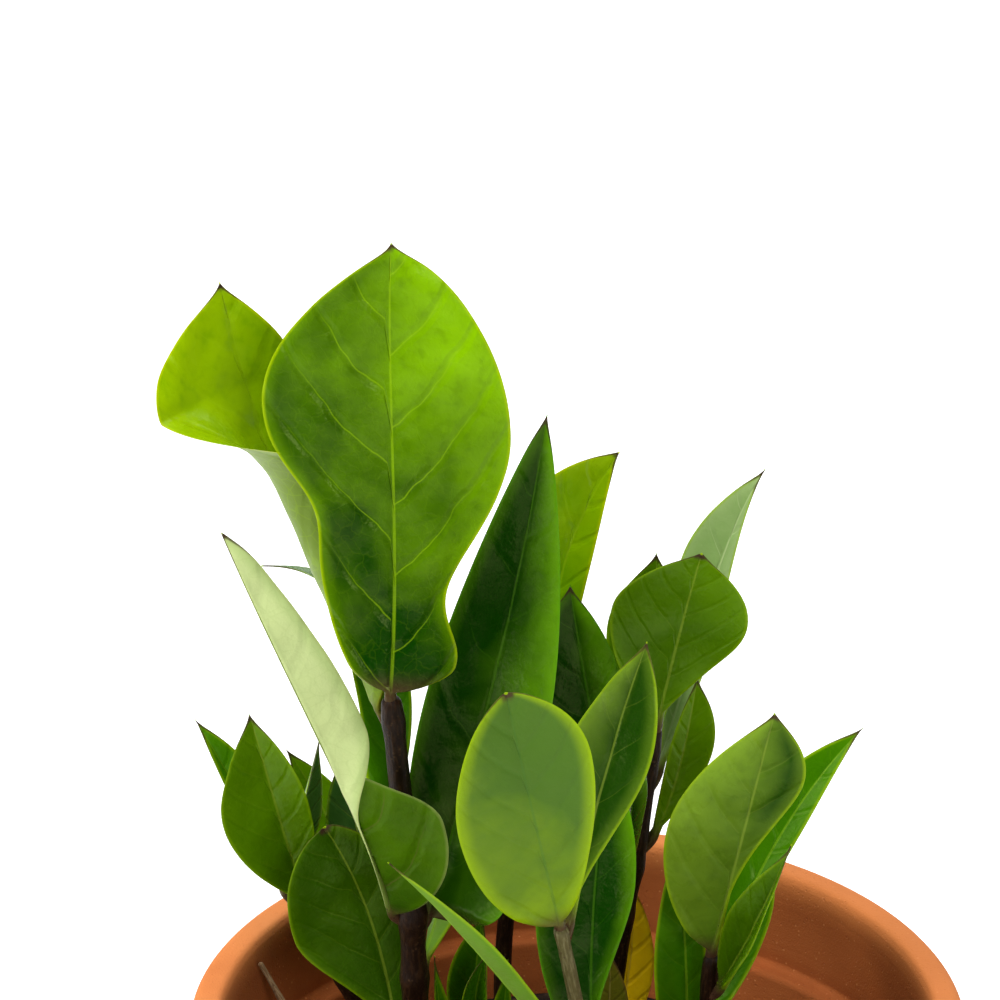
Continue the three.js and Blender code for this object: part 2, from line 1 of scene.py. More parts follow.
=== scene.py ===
"""The looks of a young ZZ plant in a round terracotta pot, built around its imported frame.

Every piece is a closed skin of rings in millimetres, made from a formula on a grid of two
parameters, and becomes a mesh in metres. Lists that run along a leaflet go from base to tip.
"""

import logging
import math
from dataclasses import dataclass, field
from enum import Enum
from typing import Any

import bpy
import numpy as np
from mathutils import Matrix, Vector

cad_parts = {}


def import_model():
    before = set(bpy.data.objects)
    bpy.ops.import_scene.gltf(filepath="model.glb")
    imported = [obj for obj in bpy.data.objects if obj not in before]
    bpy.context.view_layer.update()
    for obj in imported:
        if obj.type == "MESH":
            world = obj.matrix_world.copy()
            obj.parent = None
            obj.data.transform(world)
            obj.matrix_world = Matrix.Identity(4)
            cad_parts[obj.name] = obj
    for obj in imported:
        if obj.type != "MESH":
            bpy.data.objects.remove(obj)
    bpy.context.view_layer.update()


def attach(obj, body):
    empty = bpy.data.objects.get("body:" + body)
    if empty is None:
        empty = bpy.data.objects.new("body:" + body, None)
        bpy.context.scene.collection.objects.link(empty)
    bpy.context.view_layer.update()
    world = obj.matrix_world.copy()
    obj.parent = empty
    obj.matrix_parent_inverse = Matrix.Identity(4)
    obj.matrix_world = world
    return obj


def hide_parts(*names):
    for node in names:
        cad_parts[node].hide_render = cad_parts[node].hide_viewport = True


LOG = logging.getLogger("zz_plant")
BODY = "root"
MM = 0.001
FULL_TURN = 2 * math.pi

Colour = tuple[float, float, float]
Spot = tuple[float, float, float]
Material = bpy.types.Material
Piece = bpy.types.Object
Socket = bpy.types.NodeSocket


def srgb(red: float, green: float, blue: float) -> Colour:
    """A colour given as eight-bit sRGB, in linear light."""
    parts = np.array([red, green, blue]) / 255
    low, high = parts / 12.92, ((parts + 0.055) / 1.055) ** 2.4
    linear = np.where(parts <= 0.04045, low, high)
    return float(linear[0]), float(linear[1]), float(linear[2])


def unit(vectors: np.ndarray) -> np.ndarray:
    """The vectors along the last axis, each scaled to length one."""
    return vectors / np.maximum(np.linalg.norm(vectors, axis=-1, keepdims=True), 1e-9)


def across_of(vectors: np.ndarray, ways: np.ndarray) -> np.ndarray:
    """What is left of each vector once its part along its way is taken off."""
    return vectors - ways * np.sum(vectors * ways, axis=-1, keepdims=True)


def smooth_step(values: np.ndarray, low: float, high: float) -> np.ndarray:
    """Rises from 0 at low to 1 at high: 3t^2 - 2t^3 of the share t between them."""
    t = np.clip((values - low) / (high - low), 0, 1)
    return t * t * (3 - 2 * t)


def bell(values: np.ndarray, middle: float, reach: float) -> np.ndarray:
    """exp(-((value - middle) / reach)^2): one at the middle, falling off on both sides."""
    return np.exp(-(((values - middle) / reach) ** 2))


def listed(values: Any, u: np.ndarray) -> np.ndarray:
    """One number, or a list of numbers that runs from u = 0 to u = 1, read at u."""
    steps = np.atleast_1d(np.asarray(values, dtype=float))
    return np.interp(u * (len(steps) - 1), np.arange(len(steps)), steps)


def ripple(places: np.ndarray, wavelength: float, seed: int, waves: int = 7) -> np.ndarray:
    """Smooth random relief between about -1 and 1.

    The mean of several sines, each along its own random way and with its own random phase,
    scaled so that its spread is near one.

    Args:
        places: Points in mm, with their coordinates along the last axis.
        wavelength: Length of the longest wave, in mm.
        seed: Picks the ways and the phases.
        waves: How many sines are added.

    Returns:
        One number for each point.
    """
    rng = np.random.default_rng(seed)
    ways = unit(rng.normal(size=(waves, places.shape[-1])))
    lengths = wavelength * rng.uniform(0.45, 1, waves)
    phases = rng.uniform(0, FULL_TURN, waves)
    turns = np.tensordot(places, ways.T, axes=1) / lengths
    return np.sin(FULL_TURN * turns + phases).sum(axis=-1) / math.sqrt(waves)


# ---------------------------------------------------------------- meshes


@dataclass
class Skin:
    """A closed skin: rings of points in mm, each end closed by a fan to a pole.

    marks holds further values for each point, three numbers each, that the finish reads. With
    looped the last ring joins the first one and there are no poles.
    """

    rings: np.ndarray
    marks: dict[str, np.ndarray] = field(default_factory=dict)
    looped: bool = False

    def points(self, grid: np.ndarray) -> np.ndarray:
        """The grid's values as a list, with the mean of the first and of the last ring added."""
        flat = grid.reshape(-1, 3)
        if self.looped:
            return flat
        return np.concatenate([flat, grid[:1].mean(axis=1), grid[-1:].mean(axis=1)])

    def faces(self) -> list[list[int]]:
        """Quads between neighbouring rings, and a fan of triangles at each pole."""
        rows, sides = self.rings.shape[:2]
        number = np.arange(rows * sides).reshape(rows, sides)
        if self.looped:
            number = np.concatenate([number, number[:1]])
        ahead = np.roll(number, -1, axis=1)
        quads = np.stack([number[:-1], ahead[:-1], ahead[1:], number[1:]], axis=-1).reshape(-1, 4)
        if self.looped:
            return quads.tolist()
        start = np.stack([np.full(sides, rows * sides), ahead[0], number[0]], axis=-1)
        end = np.stack([np.full(sides, rows * sides + 1), number[-1], ahead[-1]], axis=-1)
        return quads.tolist() + start.tolist() + end.tolist()

    def piece(self, name: str) -> Piece:
        """The skin as a smooth mesh object at the origin, in metres and facing out."""
        points, faces = self.points(self.rings), self.faces()
        marks = {mark: self.points(grid) for mark, grid in self.marks.items()}
        return mesh_piece(name, points, faces, marks)


def stacked(shape: tuple[int, ...], *values: Any) -> np.ndarray:
    """The values, each spread over the shape, as the coordinates of one grid."""
    return np.stack([np.broadcast_to(value, shape) for value in values], axis=-1)


def ball_grid(rows: int, sides: int, cut: float) -> np.ndarray:
    """A ball of radius one: rings of sides points, at even angles from cut to pi - cut off its axis."""
    tilt = np.linspace(cut, math.pi - cut, rows)[:, None]
    turn = np.linspace(0, FULL_TURN, sides, endpoint=False)
    return stacked((rows, sides), np.sin(tilt) * np.cos(turn), np.sin(tilt) * np.sin(turn), np.cos(tilt))


def enclosed(points: np.ndarray, faces: list[list[int]]) -> float:
    """The volume inside the faces, negative if they face in: a sum over fans from the first corner."""
    total = 0.0
    for corners in (3, 4):
        chosen = np.array([face for face in faces if len(face) == corners])
        if chosen.size:
            spots = points[chosen]
            for turn in range(1, corners - 1):
                cross = np.cross(spots[:, turn], spots[:, turn + 1])
                total += float(np.sum(spots[:, 0] * cross)) / 6
    return total


def mesh_piece(
    name: str, points: np.ndarray, faces: list[list[int]], marks: dict[str, np.ndarray]
) -> Piece:
    """A smooth mesh object at the origin.

    Args:
        name: The piece's name.
        points: Its points in mm.
        faces: Its faces, each a list of point numbers; they are turned over if they face in.
        marks: Further values for each point, three numbers each, by name.

    Returns:
        The object, linked to the scene.
    """
    if enclosed(points, faces) < 0:
        faces = [face[::-1] for face in faces]
    mesh = bpy.data.meshes.new(name)
    mesh.from_pydata((points * MM).tolist(), [], faces)
    for mark, values in marks.items():
        layer = mesh.attributes.new(mark, "FLOAT_VECTOR", "POINT")
        layer.data.foreach_set("vector", values.astype(np.float32).ravel())
    mesh.polygons.foreach_set("use_smooth", np.ones(len(faces), dtype=bool))
    mesh.update()
    piece = bpy.data.objects.new(name, mesh)
    bpy.context.scene.collection.objects.link(piece)
    LOG.info("%s: %d points, %d faces", name, len(points), len(faces))
    return piece


def put(piece: Piece, material: Material, slot: str, *nodes: str) -> None:
    """Gives the piece its finish, lets it ride on the body and stand for the frame's nodes."""
    piece.data.materials.append(material)
    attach(piece, BODY)
    if nodes:
        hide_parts(*nodes)


# ---------------------------------------------------------------- finishes


class Graph:
    """Writes a material's node tree with short calls; a value is a number, a colour or a socket."""

    def __init__(self, name: str) -> None:
        """Starts an empty material of that name."""
        self.material = bpy.data.materials.new(name)
        self.material.use_nodes = True
        self.tree = self.material.node_tree
        self.tree.nodes.clear()

    def feed(self, socket: Socket, value: Any) -> None:
        """Links a socket's value, or sets a constant one."""
        if isinstance(value, Socket):
            self.tree.links.new(value, socket)
        elif isinstance(value, tuple) and socket.type == "RGBA":
            socket.default_value = (*value, 1)
        else:
            socket.default_value = value

    def node(self, kind: str, inputs: dict[Any, Any], **settings: Any) -> bpy.types.Node:
        """Adds a node with these settings and input values."""
        made = self.tree.nodes.new(kind)
        for key, value in settings.items():
            setattr(made, key, value)
        for key, value in inputs.items():
            self.feed(made.inputs[key], value)
        return made

    def math(self, operation: str, *values: Any, clamp: bool = False) -> Socket:
        """The result of one sum; operation is the math node's own name for it."""
        inputs = dict(enumerate(values))
        kind = "ShaderNodeMath"
        return self.node(kind, inputs, operation=operation, use_clamp=clamp).outputs[0]

    def times(self, first: Any, second: Any) -> Socket:
        """The product of two values."""
        return self.math("MULTIPLY", first, second)

    def plus(self, first: Any, second: Any) -> Socket:
        """The sum of two values."""
        return self.math("ADD", first, second)

    def less(self, first: Any, second: Any) -> Socket:
        """The first value less the second."""
        return self.math("SUBTRACT", first, second)

    def line(self, value: Any, slope: Any, start: Any, clamp: bool = False) -> Socket:
        """The value times the slope, plus the start."""
        return self.math("MULTIPLY_ADD", value, slope, start, clamp=clamp)

    def size(self, value: Any) -> Socket:
        """The value without its sign."""
        return self.math("ABSOLUTE", value)

    def mix(self, share: Any, first: Any, second: Any, blend: str = "MIX") -> Socket:
        """The second colour over the first one, by a share."""
        inputs = {0: share, 6: first, 7: second}
        kind = "ShaderNodeMix"
        return self.node(kind, inputs, data_type="RGBA", blend_type=blend).outputs[2]

    def rise(self, value: Any, low: float, high: float, top: float = 1) -> Socket:
        """A smooth step from 0 at low to top at high; low may be the greater of the two."""
        inputs = {0: value, 1: low, 2: high, 3: 0.0, 4: top}
        kind = "ShaderNodeMapRange"
        return self.node(kind, inputs, interpolation_type="SMOOTHSTEP").outputs[0]

    def place(self) -> Socket:
        """The point's place in metres."""
        return self.node("ShaderNodeTexCoord", {}).outputs["Object"]

    def marks(self, name: str) -> list[Socket]:
        """The three numbers of one of the mesh's marks."""
        read = self.node("ShaderNodeAttribute", {}, attribute_name=name).outputs["Vector"]
        return list(self.node("ShaderNodeSeparateXYZ", {0: read}).outputs)

    def vector(self, x: Any, y: Any, z: Any = 0.0) -> Socket:
        """Three numbers as one vector."""
        return self.node("ShaderNodeCombineXYZ", {0: x, 1: y, 2: z}).outputs[0]

    def noise(
        self, place: Any, scale: float, detail: float = 3, distortion: float = 0
    ) -> Socket:
        """Smooth noise between 0 and 1, with scale patches for each unit of place."""
        inputs = {"Vector": place, "Scale": scale, "Detail": detail, "Distortion": distortion}
        return self.node("ShaderNodeTexNoise", inputs).outputs[0]

    def cracks(self, place: Any, scale: float) -> Socket:
        """Distance to the nearest edge of a net of random cells."""
        inputs = {"Vector": place, "Scale": scale}
        kind = "ShaderNodeTexVoronoi"
        return self.node(kind, inputs, feature="DISTANCE_TO_EDGE").outputs[0]

    def cells(self, place: Any, scale: float) -> Socket:
        """Distance to the nearest of a field of random points."""
        return self.node("ShaderNodeTexVoronoi", {"Vector": place, "Scale": scale}).outputs[0]

    def bump(self, height: Any, depth: float, strength: float = 1) -> Socket:
        """A normal bent by a height between 0 and 1 that stands for depth in mm."""
        inputs = {"Strength": strength, "Distance": depth * MM, "Height": height}
        return self.node("ShaderNodeBump", inputs).outputs[0]

    def surface(self, colour: Any, roughness: Any, normal: Any, specular: float, **more: Any) -> None:
        """Ends the tree with one surface; more holds constants for its further inputs."""
        inputs = {"Base Color": colour, "Roughness": roughness, "Normal": normal}
        inputs |= {"Specular IOR Level": specular}
        inputs |= {key.replace("_", " "): value for key, value in more.items()}
        shader = self.node("ShaderNodeBsdfPrincipled", inputs)
        self.node("ShaderNodeOutputMaterial", {0: shader.outputs[0]})


# How far a leaflet's marks reach, in mm: its light green margin, its pale edge, its dry rim and its tip.
HALO_WIDTH = 3.2
EDGE_WIDTH = 0.8
DRY_RIM = (5.6, 3.4)
DRY_TIP = (3.0, 1.7)
STALK_LENGTH = 5


@dataclass(frozen=True)
class LeafFinish:
    """A waxy leaflet: a light and a dark green, pale veins and margin, and a dry dark tip.

    light_and_shade_ways says how the light green grows from left to right, from base to tip, and its bias.
    This gradient is painted light and shade: a darker base, and one half darker than the other.
    Names that end in scale are patterns, in patches for each metre, and relief is in mm.
    """

    name: str
    light_green: Colour
    old: Colour
    light_and_shade_ways: tuple[float, float, float] = (0.0, 0.0, 0.5)
    vein: Colour = srgb(150, 178, 60)
    vein_share: float = 0.3
    rib_share: float = 0.5
    margin: Colour = srgb(140, 172, 10)
    margin_share: float = 0.7
    halo: float = 0.3
    under: Colour = srgb(108, 146, 50)
    under_net: float = 0.2
    tip: Colour = srgb(58, 38, 30)
    stalk: Colour = srgb(70, 48, 34)
    roughness: float = 0.3
    under_roughness: float = 0.5
    blotches: float = 0.25
    specular: float = 0.2
    sheen_tint: Colour = (0.8, 1.0, 0.3)
    relief: float = 0.22
    cloud_scale: float = 55
    mottle_scale: float = 420
    net_scale: float = 300
    bend_scale: float = 260
    wander_scale: float = 110
    flaw_scale: float = 900
    streak_scale: float = 160
    grain_scale: float = 1400
    pillow_scale: float = 260
    under_cloud_scale: float = 90
    under_net_scale: float = 330

    def material(self) -> Material:
        """The finish as a material that reads the leaflet's marks."""
        graph = Graph(self.name)
        across, along, top = graph.marks("blade")
        right_mm, _, phase = graph.marks("metric")
        from_margin, from_tip, from_foot = graph.marks("reach")
        bias, seed, _ = graph.marks("tone")
        place = graph.place()
        moved = graph.node("ShaderNodeVectorMath", {0: place, 1: graph.vector(seed, seed, seed)})
        patch = moved.outputs[0]
        colour, ridge = self.blade(graph, patch, (across, along, bias, phase))
        colour = graph.mix(graph.less(1.0, top), colour, self.under_side(graph, patch))
        rib = self.midrib(graph, right_mm, along)
        colour = graph.mix(graph.times(rib, self.rib_share), colour, self.vein)
        colour = graph.mix(graph.rise(from_margin, HALO_WIDTH, 0.3, self.halo), colour, self.light_green)
        edge = graph.rise(from_margin, EDGE_WIDTH, 0.1, self.margin_share)
        colour = graph.mix(edge, colour, self.margin)
        flaws = graph.times(graph.noise(patch, self.flaw_scale), 2.0)
        worn = graph.plus(from_tip, flaws)
        rim = graph.plus(graph.times(from_margin, 6.0), graph.times(worn, 0.5))
        colour = graph.mix(graph.rise(rim, *DRY_RIM, 0.8), colour, self.tip)
        colour = graph.mix(graph.rise(worn, *DRY_TIP), colour, self.tip)
        colour = graph.mix(graph.rise(from_tip, 0.5, 0.2), colour, self.margin)
        colour = graph.mix(graph.rise(from_foot, STALK_LENGTH, -1), colour, self.stalk)
        streaks = graph.noise(patch, self.streak_scale, 4, 1.0)
        gloss = graph.line(streaks, 0.32, self.roughness - 0.16)
        dull = graph.times(graph.less(1.0, top), self.under_roughness - self.roughness)
        roughness = graph.line(gloss, 1.0, dull, clamp=True)
        grain = graph.times(graph.noise(patch, self.grain_scale, 2), 0.25)
        height = graph.plus(graph.plus(ridge, grain), graph.noise(patch, self.pillow_scale, 3))
        normal = graph.bump(height, self.relief)
        graph.surface(colour, roughness, normal, self.specular, Specular_Tint=self.sheen_tint)
        return graph.material

    def blade(self, graph: Graph, patch: Any, marks: tuple[Any, ...]) -> tuple[Any, Any]:
        """The upper side's colour, and the height of its veins for the relief."""
        across, along, bias, phase = marks
        # Painted light and shade: the share of light green rises across the halves and from base to tip.
        to_right, to_tip, start = self.light_and_shade_ways
        light_green = graph.line(graph.times(across, along), to_right, start)
        light_green = graph.line(along, to_tip, light_green)
        light_green = graph.plus(light_green, bias)
        clouds = graph.less(graph.noise(patch, self.cloud_scale, 3, 0.6), 0.5)
        light_green = graph.line(clouds, 4 * self.blotches, light_green, clamp=True)
        colour = graph.mix(light_green, self.old, self.light_green)
        mottle = graph.noise(patch, self.mottle_scale, 4)
        colour = graph.mix(graph.rise(mottle, 0.45, 0.75, 0.22), colour, self.old)
        bends = {"Vector": patch, "Scale": self.bend_scale, "Detail": 2}
        bent = graph.node("ShaderNodeTexNoise", bends).outputs[1]
        bent = graph.node("ShaderNodeVectorMath", {0: bent, 3: 0.004}, operation="SCALE").outputs[0]
        bent = graph.node("ShaderNodeVectorMath", {0: bent, 1: patch}).outputs[0]
        net = graph.rise(graph.cracks(bent, self.net_scale), 0.05, 0.0, 0.11 * self.vein_share)
        colour = graph.mix(net, colour, self.vein)
        wander = graph.less(graph.noise(patch, self.wander_scale, 2), 0.5)
        shifted = graph.line(wander, 0.32, phase)
        fraction = graph.math("FRACT", graph.plus(shifted, 100.5))
        off = graph.size(graph.less(fraction, 0.5))
        line = graph.rise(off, 0.019, 0.005)
        fade = graph.rise(graph.size(across), 1.0, 0.3)
        vein = graph.times(line, graph.times(fade, self.vein_share))
        colour = graph.mix(vein, colour, self.vein)
        ridge = graph.times(graph.rise(off, 0.02, 0.16), 2.2 * self.vein_share)
        return colour, graph.less(ridge, net)

    def under_side(self, graph: Graph, patch: Any) -> Any:
        """The lower side's colour: the paler green with a faint net."""
        darker = tuple(0.62 * part for part in self.under)
        colour = graph.mix(graph.noise(patch, self.under_cloud_scale, 4), self.under, darker)
        net = graph.rise(graph.cracks(patch, self.under_net_scale), 0.06, 0.0, self.under_net)
        return graph.mix(net, colour, self.light_green)

    def midrib(self, graph: Graph, right_mm: Any, along: Any) -> Any:
        """One on the midrib, which is widest at the base and fades before the tip."""
        width = graph.line(along, -0.26, 0.42)
        share = graph.math("DIVIDE", graph.size(right_mm), width)
        return graph.rise(share, 1.15, 0.45)


@dataclass(frozen=True)
class StemFinish:
    """A waxy stem with lengthwise streaks and flecks.

    Names that end in scale are patterns, in patches for each metre; streaks run in patches for
    each turn and along_share of each millimetre. relief is in mm.
    """

    name: str
    ground: Colour
    streak: Colour
    fleck: Colour
    roughness: float = 0.42
    specular: float = 0.13
    relief: float = 0.22
    streaks: float = 3.2
    along_share: float = 0.12
    fleck_scale: float = 900
    patch_scale: float = 240
    grain_scale: float = 1500

    def material(self) -> Material:
        """The finish as a material that reads the stem's marks."""
        graph = Graph(self.name)
        turn_x, turn_y, along_mm = graph.marks("bark")
        rolled = graph.vector(turn_x, turn_y, graph.times(along_mm, self.along_share))
        long_streaks = graph.noise(rolled, self.streaks, 5, 0.4)
        colour = graph.mix(graph.rise(long_streaks, 0.42, 0.68), self.ground, self.streak)
        place = graph.place()
        flecks = graph.rise(graph.cells(place, self.fleck_scale), 0.32, 0.1, 0.55)
        patches = graph.rise(graph.noise(place, self.patch_scale), 0.42, 0.6)
        colour = graph.mix(graph.times(flecks, patches), colour, self.fleck)
        roughness = graph.line(long_streaks, 0.3, self.roughness - 0.15)
        height = graph.plus(long_streaks, graph.times(graph.noise(place, self.grain_scale), 0.3))
        graph.surface(colour, roughness, graph.bump(height, self.relief), self.specular)
        return graph.material


@dataclass(frozen=True)
class TerracottaFinish:
    """Fired clay: three tones in soft clouds, fine grit, pits and faint turning lines, and painted shade
    inside the pot.

    Names that end in scale are patterns, in patches for each metre, and relief is in mm.
    """

    name: str
    clay: Colour
    pale: Colour
    deep: Colour
    inner_shade: Colour
    roughness: float = 0.82
    specular: float = 0.2
    relief: float = 0.16
    cloud_scale: float = 22
    stain_scale: float = 60
    grit_scale: float = 2600
    speck_scale: float = 520
    drift_scale: float = 30
    ring_scale: float = 420
    pit_scale: float = 700

    def material(self) -> Material:
        """The finish as a material."""
        graph = Graph(self.name)
        place = graph.place()
        clouds = graph.noise(place, self.cloud_scale, 4, 0.5)
        colour = graph.mix(graph.rise(clouds, 0.42, 0.72, 0.5), self.clay, self.pale)
        # Painted shade: the clay mark darkens the inner wall and its ledge towards the inner_shade colour, in
        # soft clouds.
        inner_shade_amount = graph.marks("clay")[0]
        cloudy = graph.line(graph.less(clouds, 0.5), 0.5, inner_shade_amount, clamp=True)
        inner_shade_mix = graph.times(cloudy, graph.rise(inner_shade_amount, 0.0, 0.1))
        colour = graph.mix(inner_shade_mix, colour, self.inner_shade)
        stains = graph.rise(graph.noise(place, self.stain_scale, 5), 0.5, 0.75, 0.35)
        colour = graph.mix(stains, colour, self.deep)
        grit = graph.noise(place, self.grit_scale, 2)
        colour = graph.mix(graph.rise(grit, 0.6, 0.75, 0.3), colour, self.deep)
        specks = graph.rise(graph.cells(place, self.speck_scale), 0.16, 0.05, 0.4)
        colour = graph.mix(specks, colour, self.pale)
        z = graph.node("ShaderNodeSeparateXYZ", {0: place}).outputs[2]
        drift = graph.times(graph.noise(place, self.drift_scale), 0.004)
        rings = graph.noise(graph.vector(0.0, 0.0, graph.plus(z, drift)), self.ring_scale, 3)
        pits = graph.rise(graph.cells(place, self.pit_scale), 0.2, 0.06)
        height = graph.line(rings, 0.9, graph.times(grit, 0.6))
        height = graph.less(height, graph.times(pits, 0.5))
        roughness = graph.line(clouds, 0.16, self.roughness - 0.08)
        graph.surface(colour, roughness, graph.bump(height, self.relief), self.specular)
        return graph.material


@dataclass(frozen=True)
class EarthFinish:
    """Loose matter in two tones: grain is its patches for each metre, and relief is in mm."""

    name: str
    dark: Colour
    light: Colour
    grain: float
    roughness: float = 0.95
    relief: float = 0.4
    specular: float = 0.15

    def material(self) -> Material:
        """The finish as a material."""
        graph = Graph(self.name)
        place = graph.place()
        coarse = graph.noise(place, self.grain, 6, 0.3)
        fine = graph.noise(place, 6 * self.grain, 3)
        colour = graph.mix(graph.rise(coarse, 0.4, 0.7), self.dark, self.light)
        colour = graph.mix(graph.rise(fine, 0.55, 0.8, 0.5), colour, self.light)
        fibres = graph.rise(graph.cracks(place, 2 * self.grain), 0.05, 0.0, 0.4)
        colour = graph.mix(fibres, colour, self.dark)
        height = graph.line(fine, 0.4, coarse)
        roughness = graph.line(fine, 0.1, self.roughness - 0.08)
        normal = graph.bump(height, self.relief)
        graph.surface(colour, roughness, normal, self.specular)
        return graph.material


# ---------------------------------------------------------------- shapes


@dataclass(frozen=True)
class Route:
    """A smooth curve through spots in mm, read by its share of the length.

    A centripetal Catmull-Rom curve: between two spots a cubic whose end slopes come from the
    neighbouring spots, with each span timed by the square root of its length.
    """

    spots: tuple[Spot, ...]
    samples: int = 80

    def span(self, corners: np.ndarray) -> np.ndarray:
        """Points of the cubic between the second and the third of four corners."""
        steps = np.maximum(np.linalg.norm(np.diff(corners, axis=0), axis=1) ** 0.5, 1e-4)
        before, here, after = steps
        jumps = np.diff(corners, axis=0)
        near = jumps[0] / before - (corners[2] - corners[0]) / (before + here) + jumps[1] / here
        far = jumps[1] / here - (corners[3] - corners[1]) / (here + after) + jumps[2] / after
        near, far = near * here, far * here
        t = np.linspace(0, 1, self.samples, endpoint=False)[:, None]
        start, end = corners[1], corners[2]
        square = 3 * (end - start) - 2 * near - far
        cube = near + far - 2 * (end - start)
        return start + near * t + square * t**2 + cube * t**3

    def line(self) -> tuple[np.ndarray, np.ndarray]:
        """Closely spaced points of the whole curve and their distances along it."""
        spots = np.array(self.spots, dtype=float)
        first, last = 2 * spots[0] - spots[1], 2 * spots[-1] - spots[-2]
        corners = np.concatenate([[first], spots, [last]])
        spans = [self.span(corners[i : i + 4]) for i in range(len(spots) - 1)]
        points = np.concatenate([*spans, spots[-1:]])
        steps = np.linalg.norm(np.diff(points, axis=0), axis=1)
        return points, np.concatenate([[0], np.cumsum(steps)])

    def length(self) -> float:
        """The curve's length in mm."""
        return float(self.line()[1][-1])

    def at(self, shares: np.ndarray) -> np.ndarray:
        """Points at shares of the length."""
        points, distances = self.line()
        wanted = np.asarray(shares) * distances[-1]
        return np.stack([np.interp(wanted, distances, points[:, axis]) for axis in range(3)], axis=-1)

    def way(self, shares: np.ndarray) -> np.ndarray:
        """Directions of length one at shares of the length."""
        reach = 0.004
        shares = np.asarray(shares)
        return unit(self.at(np.minimum(shares + reach, 1)) - self.at(np.maximum(shares - reach, 0)))


@dataclass(frozen=True)
class Tube:
    """A round tube along a route: rings of sides points, each ring square to the route."""

    route: Route
    radii: tuple[float, float]
    sides: int = 28
    step: float = 0.8
    knots: tuple[float, ...] = ()
    knot_rise: float = 0.16
    knot_reach: float = 2.6
    roughness: float = 0.02
    waver_length: float = 5
    seed: int = 1

    def skin(self) -> Skin:
        """The tube's skin.

        At share t the radius runs evenly from the first of radii to the second. It swells by a
        bell at each knot, wavers with a slow ripple, and closes to a dome over the last radius.
        """
        length = self.route.length()
        rows = max(int(length / self.step), 12)
        ends = 0.5 - 0.5 * np.cos(np.linspace(0, math.pi, rows))
        share = 0.85 * np.linspace(0, 1, rows) + 0.15 * ends
        radius = np.interp(share, [0, 1], self.radii)
        for knot in self.knots:
            radius = radius * (1 + self.knot_rise * bell(share * length, knot * length, self.knot_reach))
        from_top = np.clip((1 - share) * length / self.radii[1], 0, 1)
        radius = radius * np.sqrt(np.maximum(1 - (1 - from_top) ** 2, 0.02))
        centre, way = self.route.at(share), self.route.way(share)
        side = unit(across_of(np.broadcast_to([1.0, 0.0, 0.0], way.shape), way))
        front = np.cross(side, way)
        turn = np.linspace(0, FULL_TURN, self.sides, endpoint=False)
        wheel = side[:, None] * np.cos(turn)[:, None] + front[:, None] * np.sin(turn)[:, None]
        rough = centre[:, None] + wheel * radius[:, None, None]
        waver = 1 + self.roughness * ripple(rough * [1, 1, 0.3], self.waver_length, self.seed)
        rings = centre[:, None] + wheel * (radius[:, None] * waver)[..., None]
        bark = np.empty_like(rings)
        bark[..., 0], bark[..., 1] = np.cos(turn), np.sin(turn)
        bark[..., 2] = (share * length)[:, None]
        return Skin(rings, {"bark": bark})


# ---------------------------------------------------------------- pot and soil


# The pot's flaws in mm: each turning line's height, spacing and start, and how far the pot is out of
# round, with the lobes of each wave and its start.
TURNING_LINES = ((0.07, 3.3, 0.0), (0.05, 1.9, 1.0))
OUT_OF_ROUND = ((0.18, 2, 0.6), (0.08, 5, 0.0))


